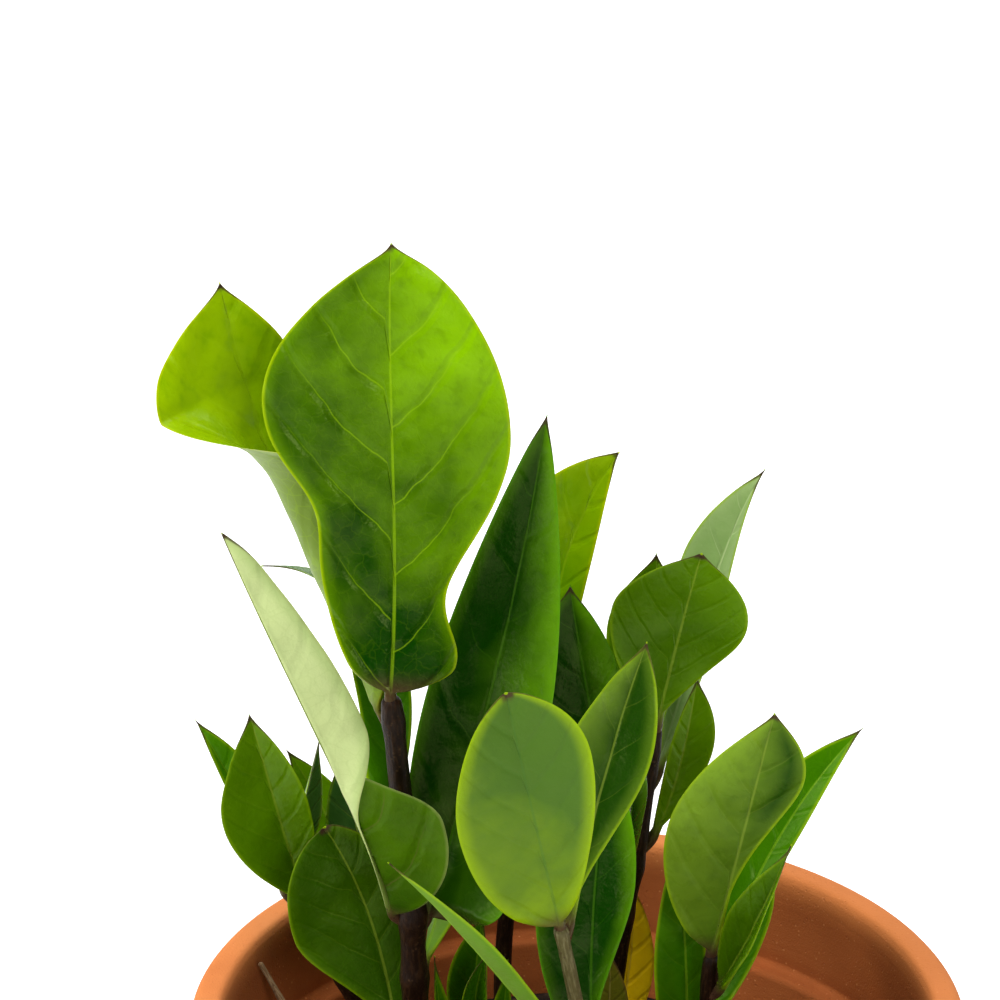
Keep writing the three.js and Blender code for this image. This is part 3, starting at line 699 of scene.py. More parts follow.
@dataclass(frozen=True)
class Pot:
    """A turned terracotta pot with a rim band, a ledge inside and a drainage hole."""

    height: float = 140
    rim_radius: float = 75
    foot_radius: float = 50
    band_height: float = 27
    band_step: float = 3
    band_taper: float = 1.5
    wall: float = 6
    ledge_depth: float = 21
    ledge_step: float = 3.5
    floor: float = 8
    hole_radius: float = 7
    edge: float = 2.0
    hole_edge: float = 0.8
    band_edges: tuple[float, float] = (1.2, 1.6)
    ledge_edges: tuple[float, float] = (1.8, 1.4)
    floor_edge: float = 2.4
    segments: int = 216
    row_height: float = 1.6
    # How strong the painted shade on the inner wall is.
    inner_shade_share: float = 0.72
    # The finish's last colour is the painted shade inside the pot.
    finish: TerracottaFinish = TerracottaFinish(
        "terracotta", srgb(214, 128, 68), srgb(226, 150, 92), srgb(184, 96, 42), srgb(124, 54, 12)
    )

    def shoulder(self) -> float:
        """Radius of the outer wall right under the band."""
        return self.rim_radius - self.band_taper - self.band_step

    def outer_wall(self, z: float) -> float:
        """Radius of the outer wall at a height under the band."""
        rise = (self.shoulder() - self.foot_radius) / (self.height - self.band_height)
        return self.foot_radius + rise * z

    def inner_wall(self, z: float) -> float:
        """Radius of the inner wall at a height under the ledge."""
        ledge = self.height - self.ledge_depth
        at_ledge = self.rim_radius - self.wall - self.band_taper - self.ledge_step
        at_floor = self.outer_wall(self.floor) - self.wall
        return at_floor + (at_ledge - at_floor) * (z - self.floor) / (ledge - self.floor)

    def corners(self) -> list[tuple[float, float, float]]:
        """The outline's corners as radius, height and rounding, from the hole's lower edge round."""
        band, ledge = self.height - self.band_height, self.height - self.ledge_depth
        mouth = self.rim_radius - self.wall
        return [
            (self.hole_radius, 0, self.hole_edge),
            (self.foot_radius, 0, self.edge),
            (self.shoulder(), band, self.band_edges[0]),
            (self.rim_radius - self.band_taper, band, self.band_edges[1]),
            (self.rim_radius, self.height, self.edge),
            (mouth, self.height, self.edge),
            (mouth - self.band_taper, ledge, self.ledge_edges[0]),
            (self.inner_wall(ledge), ledge, self.ledge_edges[1]),
            (self.inner_wall(self.floor), self.floor, self.floor_edge),
            (self.hole_radius, self.floor, self.hole_edge),
        ]

    def outline(self) -> np.ndarray:
        """The outline as closely spaced points of radius and height.

        Each corner is a quadratic curve that starts and ends one rounding away from it, and the
        straight runs between the corners are cut into rows.
        """
        corners = np.array(self.corners(), dtype=float)
        spots, cut = corners[:, :2], corners[:, 2:]
        ahead = unit(np.roll(spots, -1, axis=0) - spots)
        leaves, enters = spots + ahead * cut, spots - np.roll(ahead, 1, axis=0) * cut
        t = np.linspace(0, 1, 7)[:, None]
        points = []
        for i, corner in enumerate(spots):
            points.append((1 - t) ** 2 * enters[i] + 2 * t * (1 - t) * corner + t**2 * leaves[i])
            goal = enters[(i + 1) % len(spots)]
            rows = max(int(np.linalg.norm(goal - leaves[i]) / self.row_height), 2)
            points.append(leaves[i] + (goal - leaves[i]) * np.linspace(0, 1, rows + 1)[1:-1, None])
        return np.concatenate(points)

    def inner_shade_amount(self, radius: np.ndarray, height: np.ndarray) -> np.ndarray:
        """How much painted shade darkens the clay: 0 outside, more on the inner wall, most on its ledge."""
        ledge = self.height - self.ledge_depth
        mouth = self.rim_radius - self.wall
        past_rim = np.arange(height.size) > np.argmax(height)
        inside = past_rim * smooth_step(mouth + 0.8 - radius, 0, 0.8)
        above = smooth_step(height, self.floor - 1, self.floor)
        upper = smooth_step(self.height + 1.5 - height, 0, 9)
        on_ledge = bell(height, ledge, 2.4)
        return self.inner_shade_share * inside * above * upper * (1 + 0.06 * on_ledge)

    def build(self) -> None:
        """Turns the outline about Z, slightly out of round and with faint turning lines."""
        outline = self.outline()
        radius, height = outline[:, 0], outline[:, 1]
        turn = np.linspace(0, FULL_TURN, self.segments, endpoint=False)
        lines = sum(size * np.sin(FULL_TURN * height / apart + start) for size, apart, start in TURNING_LINES)
        wobble = sum(size * np.sin(lobes * turn + start) for size, lobes, start in OUT_OF_ROUND)
        full = radius[:, None] + lines[:, None] + wobble
        level = np.broadcast_to(height[:, None], full.shape)
        level = level + 0.12 * np.sin(3 * turn) * smooth_step(height, 60, 140)[:, None]
        rings = np.stack([full * np.cos(turn), full * np.sin(turn), level], axis=-1)
        clay = np.zeros_like(rings)
        # The clay mark carries the painted shade on the inner wall and its ledge.
        clay[..., 0] = self.inner_shade_amount(radius, height)[:, None]
        piece = Skin(rings, {"clay": clay}, looped=True).piece("terracotta_pot")
        put(piece, self.finish.material(), "terracotta", "pot")


# The soil's relief: the height and the longest wave of each layer in mm, its seed and its waves.
SOIL_RELIEF = ((0.55, 16, 3, 7), (0.4, 6, 4, 12), (0.22, 2.4, 5, 16))


@dataclass(frozen=True)
class Soil:
    """Dark potting soil with a rough surface, loose crumbs, bark and pale grains."""

    pot: Pot
    headspace: float = 30
    crown: float = 2
    gap: float = 0.3
    segments: int = 200
    rows: int = 70
    crumbs: int = 1300
    chips: int = 90
    grains: int = 46
    finish: EarthFinish = EarthFinish("soil", srgb(30, 22, 17), srgb(66, 48, 36), 260, relief=0.9)
    crumb_finish: EarthFinish = EarthFinish("crumbs", srgb(34, 25, 19), srgb(84, 62, 46), 500)
    chip_finish: EarthFinish = EarthFinish("bark", srgb(66, 42, 28), srgb(122, 84, 56), 330)
    grain_finish: EarthFinish = EarthFinish("perlite", srgb(190, 184, 172), srgb(226, 222, 212), 700)

    def height(self) -> float:
        """Height of the soil's middle."""
        return self.pot.height - self.headspace

    def edge(self) -> float:
        """The surface's radius where it meets the pot."""
        return self.pot.inner_wall(self.height() - self.crown) - self.gap

    def level(self, x: np.ndarray, y: np.ndarray) -> np.ndarray:
        """Height of the surface: a crown that falls with the square of the radius, and ripples."""
        radius = np.hypot(x, y)
        flat = np.stack([x, y], axis=-1)
        rough = sum(size * ripple(flat, longest, seed, waves) for size, longest, seed, waves in SOIL_RELIEF)
        calm = 1 - 0.7 * smooth_step(radius, self.edge() - 5, self.edge())
        return self.height() - 0.6 - self.crown * (radius / self.edge()) ** 2 + rough * calm

    def build(self) -> None:
        """Builds the soil and everything that lies on it."""
        self.ground()
        self.loose("soil_crumbs", self.crumbs, (0.5, 1.7), (1, 1, 0.8), self.crumb_finish, 11)
        self.loose("soil_bark", self.chips, (1.6, 4.2), (1, 0.45, 0.28), self.chip_finish, 12)
        self.loose("soil_perlite", self.grains, (0.6, 1.4), (1, 0.9, 0.8), self.grain_finish, 13)

    def ground(self) -> None:
        """The body of the soil: rings from the middle of the top out, down the wall and in below."""
        turn = np.linspace(0, FULL_TURN, self.segments, endpoint=False)
        radius = self.edge() * np.linspace(0.012, 1, self.rows)[:, None] * np.ones_like(turn)
        x, y = radius * np.cos(turn), radius * np.sin(turn)
        top = np.stack([x, y, self.level(x, y)], axis=-1)
        depth = np.linspace(self.height() - self.crown - 3, self.pot.floor + 3, 24)
        wall = self.pot.inner_wall(depth) - self.gap
        bottom = self.pot.floor + self.gap
        foot = np.array([[self.pot.inner_wall(self.pot.floor) - 3, bottom], [2.0, bottom]])
        side = np.concatenate([np.stack([wall, depth], axis=-1), foot])
        out, down = side[:, :1], side[:, 1:]
        lower = stacked((len(side), self.segments), out * np.cos(turn), out * np.sin(turn), down)
        piece = Skin(np.concatenate([top, lower])).piece("potting_soil")
        put(piece, self.finish.material(), "soil", "soil")

    def loose(
        self, name: str, count: int, sizes: tuple[float, float], form: Spot, finish: EarthFinish, seed: int
    ) -> None:
        """Scatters lumps over the surface: small balls with dented sides, each turned its own way.

        Args:
            name: The piece's name; all its lumps are one mesh.
            count: How many lumps.
            sizes: Smallest and largest half length in mm.
            form: Length, width and height of a lump against its half length.
            finish: What the lumps are made of.
            seed: Picks their places, sizes and turns.
        """
        rng = np.random.default_rng(seed)
        lump = Skin(ball_grid(4, 6, 0.5))
        shape = lump.points(lump.rings)
        faces = np.array([face + [-1] * (4 - len(face)) for face in lump.faces()])
        half = sizes[0] + (sizes[1] - sizes[0]) * rng.random(count) ** 2.5
        dents = 1 + rng.uniform(-0.28, 0.28, (count, len(shape), 1))
        points = shape * dents * np.array(form) * half[:, None, None]
        spin, lean = rng.uniform(0, FULL_TURN, count)[:, None], rng.uniform(-0.5, 0.5, count)[:, None]
        x = points[..., 0] * np.cos(lean) - points[..., 2] * np.sin(lean)
        z = points[..., 0] * np.sin(lean) + points[..., 2] * np.cos(lean)
        far = (self.edge() - sizes[1] - 1) * np.sqrt(rng.random(count))[:, None]
        bearing = rng.uniform(0, FULL_TURN, count)[:, None]
        middle_x, middle_y = far * np.cos(bearing), far * np.sin(bearing)
        y = points[..., 1]
        spots = stacked(
            x.shape,
            x * np.cos(spin) - y * np.sin(spin) + middle_x,
            x * np.sin(spin) + y * np.cos(spin) + middle_y,
            z + self.level(middle_x, middle_y) + 0.25 * half[:, None],
        )
        shift = np.arange(count)[:, None, None] * len(shape)
        numbers = np.where(faces >= 0, faces + shift, -1).reshape(-1, 4)
        joined = [face[face >= 0].tolist() for face in numbers]
        piece = mesh_piece(name, spots.reshape(-1, 3), joined, {})
        put(piece, finish.material(), "soil")


# A tuber's smooth form against its half sizes, which leaves room for its lumps.
ROOM_FOR_LUMPS = 0.97


@dataclass(frozen=True)
class Tuber:
    """A potato-like tuber in the soil: a lumpy ball with shallow rings."""

    name: str
    centre: Spot
    half: Spot

    def build(self, soil: Soil, material: Material) -> None:
        """Builds the tuber: a ball of two angles, scaled, with ripples and faint rings on it."""
        ball = ball_grid(40, 48, 0.05)
        grown = ball * np.array(self.half) * ROOM_FOR_LUMPS
        relief = 0.3 * ripple(grown, 14, len(self.name)) + 0.12 * np.sin(2.6 * grown[..., 2])
        rings = grown + ball * relief[..., None] + np.array(self.centre) + [0, 0, soil.height()]
        put(Skin(rings).piece(f"zz_{self.name}"), material, "tuber", self.name)


# ---------------------------------------------------------------- plant


class StemKind(Enum):
    """The two barks of the plant's stems, each with its slot."""

    DARK = "stem_dark"
    GREEN = "stem_green"


class Leafage(Enum):
    """The leaflets' finishes: slot and look."""

    BRIGHT = "bright"
    FRESH = "fresh"
    DEEP = "deep"
    MIDDLE = "middle"
    OLIVE = "olive"
    SOFT = "soft"
    GREY_SHEEN = "grey_sheen"
    SHADE_AND_SHEEN = "shade_and_sheen"
    PALE = "pale"
    FOLDED = "folded"
    YELLOW = "yellow"
    BROWN = "brown"

    def slot(self) -> str:
        """The record's material slot of this look."""
        return {Leafage.YELLOW: "leaf_yellow", Leafage.BROWN: "leaf_brown"}.get(self, "leaf_green")


LEAF_FINISHES = {
    # Painted shade: dark green at the base and on the left half, light green towards the tip and the right.
    Leafage.BRIGHT: LeafFinish(
        "leaf_bright", srgb(122, 172, 0), srgb(8, 54, 0), (0.6, 0.9, -0.1), vein=srgb(140, 180, 14),
        vein_share=0.42, margin=srgb(160, 186, 0), roughness=0.26,
    ),
    Leafage.FRESH: LeafFinish(
        "leaf_fresh", srgb(148, 184, 0), srgb(66, 128, 0), (-0.2, 0.5, 0.45), vein=srgb(150, 186, 20),
        margin=srgb(190, 202, 0), under=srgb(124, 152, 56), roughness=0.26,
    ),
    # Painted shadow: the left half is painted dark green, the right half lighter.
    Leafage.DEEP: LeafFinish(
        "leaf_deep", srgb(92, 144, 8), srgb(8, 52, 0), (1.1, 0.1, 0.1), vein=srgb(70, 120, 20),
        vein_share=0.14, rib_share=0.4, margin=srgb(80, 140, 10), margin_share=0.5, roughness=0.24,
    ),
    Leafage.MIDDLE: LeafFinish(
        "leaf_middle", srgb(76, 134, 0), srgb(22, 78, 0), (0.2, 0.3, 0.3), vein=srgb(120, 160, 30),
        vein_share=0.16, roughness=0.25,
    ),
    Leafage.OLIVE: LeafFinish(
        "leaf_olive", srgb(88, 130, 0), srgb(44, 80, 0), (0.2, 0.2, 0.3), vein=srgb(128, 150, 40),
        roughness=0.27, vein_share=0.16, margin_share=0.4,
    ),
    Leafage.SOFT: LeafFinish(
        "leaf_soft", srgb(134, 166, 0), srgb(64, 100, 26), (-0.4, -0.9, 0.58), vein=srgb(60, 104, 40),
        vein_share=0.15, rib_share=0.35, margin=srgb(140, 172, 0), halo=0.7, roughness=0.36, specular=0.24,
    ),
    # Partly painted sheen: the grey blue tone paints a glossy veil of reflected light, over the real gloss of
    # its specular.
    Leafage.GREY_SHEEN: LeafFinish(
        "leaf_grey_sheen", srgb(70, 116, 50), srgb(24, 66, 18), (0.0, 0.3, 0.2), roughness=0.4, specular=0.5,
    ),
    # Painted shade and sheen: mostly dark green, with a lighter left half where a sheen falls.
    Leafage.SHADE_AND_SHEEN: LeafFinish(
        "leaf_shade_and_sheen", srgb(120, 156, 36), srgb(24, 62, 2), (-0.9, 0.1, 0.35), vein=srgb(128, 150, 50),
        vein_share=0.16, roughness=0.3,
    ),
    Leafage.PALE: LeafFinish(
        "leaf_pale", srgb(160, 184, 120), srgb(112, 148, 70), (0.0, 0.3, 0.3), vein=srgb(190, 206, 150),
        roughness=0.35,
    ),
    Leafage.FOLDED: LeafFinish(
        "leaf_folded", srgb(86, 130, 0), srgb(34, 70, 0), (0.0, 0.9, 0.15), vein=srgb(110, 84, 60),
        margin=srgb(150, 160, 90), margin_share=0.4, under=srgb(204, 220, 150), under_net=0.06,
        roughness=0.36,
    ),
    Leafage.YELLOW: LeafFinish(
        "leaf_yellow", srgb(255, 214, 16), srgb(246, 190, 4), vein=srgb(214, 170, 60),
        margin=srgb(200, 150, 20), under=srgb(244, 194, 40), blotches=0.5, tip=srgb(150, 96, 20),
    ),
    Leafage.BROWN: LeafFinish(
        "leaf_brown", srgb(110, 118, 26), srgb(86, 74, 18), vein=srgb(150, 140, 70),
        margin=srgb(120, 100, 40), under=srgb(130, 126, 60), blotches=0.6,
    ),
}

STEM_FINISHES = {
    StemKind.DARK: StemFinish("bark_dark", srgb(28, 15, 7), srgb(46, 28, 12), srgb(74, 54, 34)),
    StemKind.GREEN: StemFinish("bark_green", srgb(84, 78, 44), srgb(112, 106, 70), srgb(66, 46, 34)),
}

CLEARANCE = 0.3
# A leaflet's outline: where its heel is widest and how far its waist goes, in shares of its length.
HEEL_AT = 0.06
WAIST_REACH = 0.12
# Its least half widths, its half thicknesses and the depths of its relief, in mm.
PETIOLE_HALF = 1.1
TIP_HALF = 0.14
BLADE_THICKNESS = 0.24
STALK_THICKNESS = 0.75
STALK_REACH = 5.5
TIP_THINNING = 0.1
POINT_REACH = 2.6
FURROW_DEPTH = 0.3
RIB_DEPTH = 0.45
PILLOW_HEIGHT = 0.05
FINE_PILLOW_HEIGHT = 0.16
SWELL_LENGTH = 15
NOTCH_LENGTH = 9
# Its side veins: how many, the least space between them, and how they lean and bend to the tip.
VEINS = 6
LEAST_SPACING = 2.2
VEIN_LEAN = 0.8
VEIN_BEND = 0.5
# Rows of points along a leaflet, and points across one side of it.
GRID = (84, 37)
FINE_GRID = (150, 61)


@dataclass(frozen=True)
class Outline:
    """How one side's width runs from base to tip.

    peak is where it is widest, base and tip are how fast it narrows towards each end, heel is how
    wide it already is at the base and reach how far that goes, and waist how much it draws in at
    waist_at.
    """

    peak: float
    base: float
    tip: float
    heel: float = 0
    reach: float = 0.1
    waist: float = 0
    waist_at: float = 0.5


@dataclass(frozen=True)
class Side:
    """One side of a leaflet: widest half width, outline, and fold and curl in degrees."""

    widest: float
    outline: Outline
    fold: float | tuple[float, ...]
    curl: float | tuple[float, ...]

    def half_width(self, u: np.ndarray) -> np.ndarray:
        """Half width in mm at u.

        sin(pi u^q), with q set so that it peaks at the outline's peak, raised to the power base
        before the peak and tip after it, less a bell for the waist, plus a round heel.
        """
        form = self.outline
        arch = np.maximum(np.sin(math.pi * u ** (math.log(0.5) / math.log(form.peak))), 0)
        body = arch ** np.where(u < form.peak, form.base, form.tip)
        body = body * (1 - form.waist * bell(u, form.waist_at, WAIST_REACH))
        from_heel = np.maximum(1 - u / HEEL_AT, 0)
        lobe = form.heel * bell(u, HEEL_AT, form.reach) * np.sqrt(1 - np.minimum(from_heel, 1) ** 2)
        least = PETIOLE_HALF + (TIP_HALF - PETIOLE_HALF) * np.sqrt(u)
        return np.maximum(self.widest * (body + lobe), least)


@dataclass(frozen=True)
class Stem:
    """A stem from inside its tuber to its top."""

    name: str
    radii: tuple[float, float]
    spots: tuple[Spot, ...]
    kind: StemKind

    def route(self, ground: float) -> Route:
        """The stem's curve, with the soil's surface at the height ground."""
        return Route(tuple((x, y, z + ground) for x, y, z in self.spots))

    def radius(self, share: float) -> float:
        """Radius at a share of the length."""
        return self.radii[0] + (self.radii[1] - self.radii[0]) * share

    def build(self, ground: float, knots: tuple[float, ...], material: Material) -> None:
        """Builds the stem with a swelling at each leaflet that it carries."""
        tube = Tube(self.route(ground), self.radii, knots=knots, seed=len(self.name))
        put(tube.skin().piece(f"zz_{self.name}"), material, self.kind.value, self.name)


@dataclass(frozen=True)
class Leaflet:
    """A leaflet: a thin blade bent around its own midrib, with a short stalk into its stem.

    at is its place on the stem and tip its end from the middle of the soil's surface. face is the
    way its upper side looks, and bow how its midrib stands off a straight line at a third and at
    two thirds. left and right are as seen from above with the tip up.
    """

    name: str
    stem: str
    at: float
    tip: Spot
    face: tuple[Spot, ...]
    bow: tuple[Spot, Spot]
    left: Side
    right: Side
    leafage: Leafage
    fine: bool = False
    wave: float = 0.35
    ragged: float = 0.0
    point: float = 0.5
    bias: float = 0.0

    def seed(self) -> int:
        """A number that is this leaflet's own, from the letters of its name."""
        return sum((i + 1) * ord(letter) for i, letter in enumerate(self.name))

    def midrib(self, stem: Stem, ground: float, u: np.ndarray) -> tuple[np.ndarray, np.ndarray, int]:
        """Points and ways of the stalk and the midrib.

        The midrib is a cubic curve from just outside the stem to the tip. The stalk before it is a
        quadratic curve that starts inside the stem and ends in the midrib's own way.

        Returns:
            The points, the ways at them, and how many of them belong to the stalk.
        """
        route = stem.route(ground)
        inside, up_stem = route.at(self.at), route.way(self.at)
        tip = np.array(self.tip, dtype=float) + [0, 0, ground]
        if self.at == 1:
            foot = inside + up_stem * (CLEARANCE + 0.5)
        else:
            out = unit(across_of(tip - inside, up_stem))
            foot = inside + out * (stem.radius(self.at) + CLEARANCE + PETIOLE_HALF)
        reach = tip - foot
        early, late = (np.array(off, dtype=float) for off in self.bow)
        held = np.stack([foot, foot + reach / 3 + early, foot + 2 * reach / 3 + late, tip])
        t = u[:, None]
        shares = np.concatenate([(1 - t) ** 3, 3 * t * (1 - t) ** 2, 3 * t**2 * (1 - t), t**3], axis=1)
        jumps = np.diff(held, axis=0)
        slopes = np.concatenate([(1 - t) ** 2, 2 * t * (1 - t), t**2], axis=1)
        points, ways = shares @ held, unit(slopes @ jumps)
        start = inside - up_stem * 3.2
        bend = foot - ways[0] * 2.2
        t = np.linspace(0, 1, 7)[:-1, None]
        stalk = (1 - t) ** 2 * start + 2 * t * (1 - t) * bend + t**2 * foot
        stalk_ways = unit((1 - t) * (bend - start) + t * (foot - bend))
        return np.concatenate([stalk, points]), np.concatenate([stalk_ways, ways]), len(stalk)

    def skin(self, stem: Stem, ground: float) -> Skin:
        """The leaflet's closed skin, with the marks its finish reads.

        Across a ring v runs from -1 at the left margin to 1 at the right one over the upper side
        and back below. The middle layer of each half is an arc that starts at the fold and turns
        by the curl. The skin stands off it by half the thickness times sqrt(1 - |v|^k), with k = 2
        for the stalk and 8 for the blade, and has a furrow over the midrib, a rib under it, low
        pillows between the side veins and slow waves towards the margin.
        """
        along_count, across_count = FINE_GRID if self.fine else GRID
        even = np.linspace(0, 1, along_count)
        u = 0.45 * even + 0.55 * (0.5 - 0.5 * np.cos(math.pi * even))
        centre, way, before = self.midrib(stem, ground, u)
        steps = np.linalg.norm(np.diff(centre, axis=0), axis=1)
        run = np.concatenate([[0], np.cumsum(steps)])
        run = run - run[before]
        u = np.concatenate([np.zeros(before), u])
        length = run[-1]
        face = np.stack([listed([way_up[axis] for way_up in self.face], u) for axis in range(3)], axis=-1)
        up = unit(across_of(face, way))
        right = np.cross(way, up)

        sweep = np.linspace(-math.pi / 2, math.pi / 2, across_count)
        v = np.concatenate([np.sin(sweep), np.sin(sweep[::-1])[1:-1]])
        top = np.concatenate([np.ones(across_count), -np.ones(across_count - 2)])
        on_left = v < 0
        wide_left, wide_right = self.left.half_width(u), self.right.half_width(u)
        if self.ragged:
            notches = np.maximum(ripple(run[:, None], NOTCH_LENGTH, self.seed(), 5), 0)
            wide_right = wide_right * (1 - self.ragged * notches * smooth_step(u, 0.3, 0.7))
        pointed = 1 - self.point * np.exp(-(((length - run) / POINT_REACH) ** 1.3))
        full = np.where(on_left, wide_left[:, None], wide_right[:, None]) * pointed[:, None]
        settle = smooth_step(run, -1, 5)
        fold = self.angles(self.left.fold, self.right.fold, u, on_left) * settle[:, None]
        curl = self.angles(self.left.curl, self.right.curl, u, on_left)
        curl = np.where(np.abs(curl) < 0.001, 0.001, curl)
        sign, span = np.sign(v), np.abs(v)
        turn = fold + curl * span
        out = full / curl * (np.sin(turn) - np.sin(fold)) * sign
        rise = full / curl * (np.cos(fold) - np.cos(turn))
        x_mm = full * span

        spacing = max(length / VEINS, LEAST_SPACING)
        phase = (run[:, None] - VEIN_LEAN * x_mm - VEIN_BEND * x_mm * span) / spacing
        phase = phase + np.where(on_left, 0.0, 0.45)
        stalk = STALK_THICKNESS * np.exp(-np.maximum(run, 0) / STALK_REACH)
        half = BLADE_THICKNESS + stalk - TIP_THINNING * u
        power = 2 + 6 * smooth_step(full, 1.4, 4)
        body = half[:, None] * np.sqrt(np.maximum(1 - span**power, 0))
        blade = smooth_step(full, 2, 6) * (1 - span**6)
        pillows = np.abs(np.sin(math.pi * phase)) ** 0.6 - 0.6
        pillows = pillows * (FINE_PILLOW_HEIGHT if self.fine else PILLOW_HEIGHT)
        fading = (1 - 0.6 * u)[:, None] * smooth_step(full, 2, 5)
        on_top = body - FURROW_DEPTH * fading * bell(x_mm, 0, 0.7) + blade * pillows
        below = -body - RIB_DEPTH * fading * bell(x_mm, 0, 0.8) + 0.6 * blade * pillows
        off = np.where(top > 0, on_top, below)
        waves = FULL_TURN * run[:, None] / (0.42 * length + 4)
        swing = np.sin(waves + np.where(on_left, 0.4, 2.3) + self.seed())
        swell = ripple(stacked(full.shape, x_mm * sign, run[:, None]), SWELL_LENGTH, self.seed())
        rise = rise + self.wave * smooth_step(full, 2, 8) * (span**2 * swing + 0.35 * swell)
        rings = centre[:, None] + right[:, None] * (out - off * np.sin(turn) * sign)[..., None]
        rings = rings + up[:, None] * (rise + off * np.cos(turn))[..., None]

        shape = full.shape
        marks = {
            "blade": stacked(shape, v, u[:, None], 0.5 + 0.5 * top * smooth_step(1 - span, 0.0, 0.01)),
            "metric": stacked(shape, x_mm * sign, run[:, None], phase),
            "reach": stacked(shape, full - x_mm, np.hypot((length - run)[:, None], x_mm), run[:, None]),
            "tone": stacked(shape, self.bias, 0.001 * (self.seed() % 997), 0.0),
        }
        return Skin(rings, marks)

    def angles(self, left: Any, right: Any, u: np.ndarray, on_left: np.ndarray) -> np.ndarray:
        """The left side's or the right side's angles at u, in radians, for each point of the rings."""
        return np.radians(np.where(on_left, listed(left, u)[:, None], listed(right, u)[:, None]))

    def build(self, stem: Stem, ground: float, material: Material) -> None:
        """Builds the leaflet with its finish."""
        piece = self.skin(stem, ground).piece(f"zz_{self.name}")
        put(piece, material, self.leafage.slot(), self.name)


ELLIPTIC = Outline(0.52, 0.6, 1)
OBOVATE = Outline(0.64, 0.5, 1)
SPOON = Outline(0.6, 0.6, 0.6)
LANCE = Outline(0.45, 0.8, 1.3)
TOP_LEFT = Outline(0.65, 0.65, 1.05, heel=0.24, reach=0.2, waist=0.22, waist_at=0.41)
TOP_RIGHT = Outline(0.56, 1.45, 0.65, heel=0.5, reach=0.12)

TUBERS = (
    Tuber("tuber_left", (-34, 3, -22), (17, 15, 11)),
    Tuber("tuber_middle", (-2, 5, -24), (15, 27, 12)),
    Tuber("tuber_right", (29, -3, -21), (11, 13, 9)),
)

STEMS = (
    Stem(
        "stem_tall", (3.1, 1.9), (
            (-31, -2, -20), (-30.5, -6, 0), (-31.2, -8, 38), (-31.7, -10, 60), (-33.3, -12, 83),
            (-35, -14, 106),
        ), StemKind.DARK,
    ),
    Stem(
        "stem_left", (2.2, 1.4),
        ((-36, 8, -20), (-35, 10, 0), (-41, 12, 20), (-50, 13.5, 38), (-56.5, 14, 50)), StemKind.DARK,
    ),
    Stem(
        "stem_front", (2.2, 1.2),
        ((3, -8, -22), (5, -17, 0), (2.5, -29, 28), (-1.2, -38, 56), (-4.2, -42.5, 74)), StemKind.GREEN,
    ),
    Stem(
        "stem_middle", (2.1, 1.2),
        ((3, 12, -22), (5, 15, 0), (8.5, 15, 35), (12, 12, 61.5), (14.8, 10, 87)), StemKind.DARK,
    ),
    Stem(
        "stem_back", (2, 1.3),
        ((-11, 20, -22), (-14, 27, 0), (-14.5, 30, 20), (-13, 30, 40), (-8, 28, 62), (-3, 25, 84)),
        StemKind.DARK,
    ),
    Stem(
        "stem_right", (1.8, 1.3), ((24, -3, -18), (22, -4, 0), (24, -7, 30), (25.2, -8, 48)),
        StemKind.DARK,
    ),
    Stem("shoot_young", (1.8, 1.4), ((-24, 2, -18), (-19.5, 2, 0), (-18.5, 3, 18)), StemKind.GREEN),
)

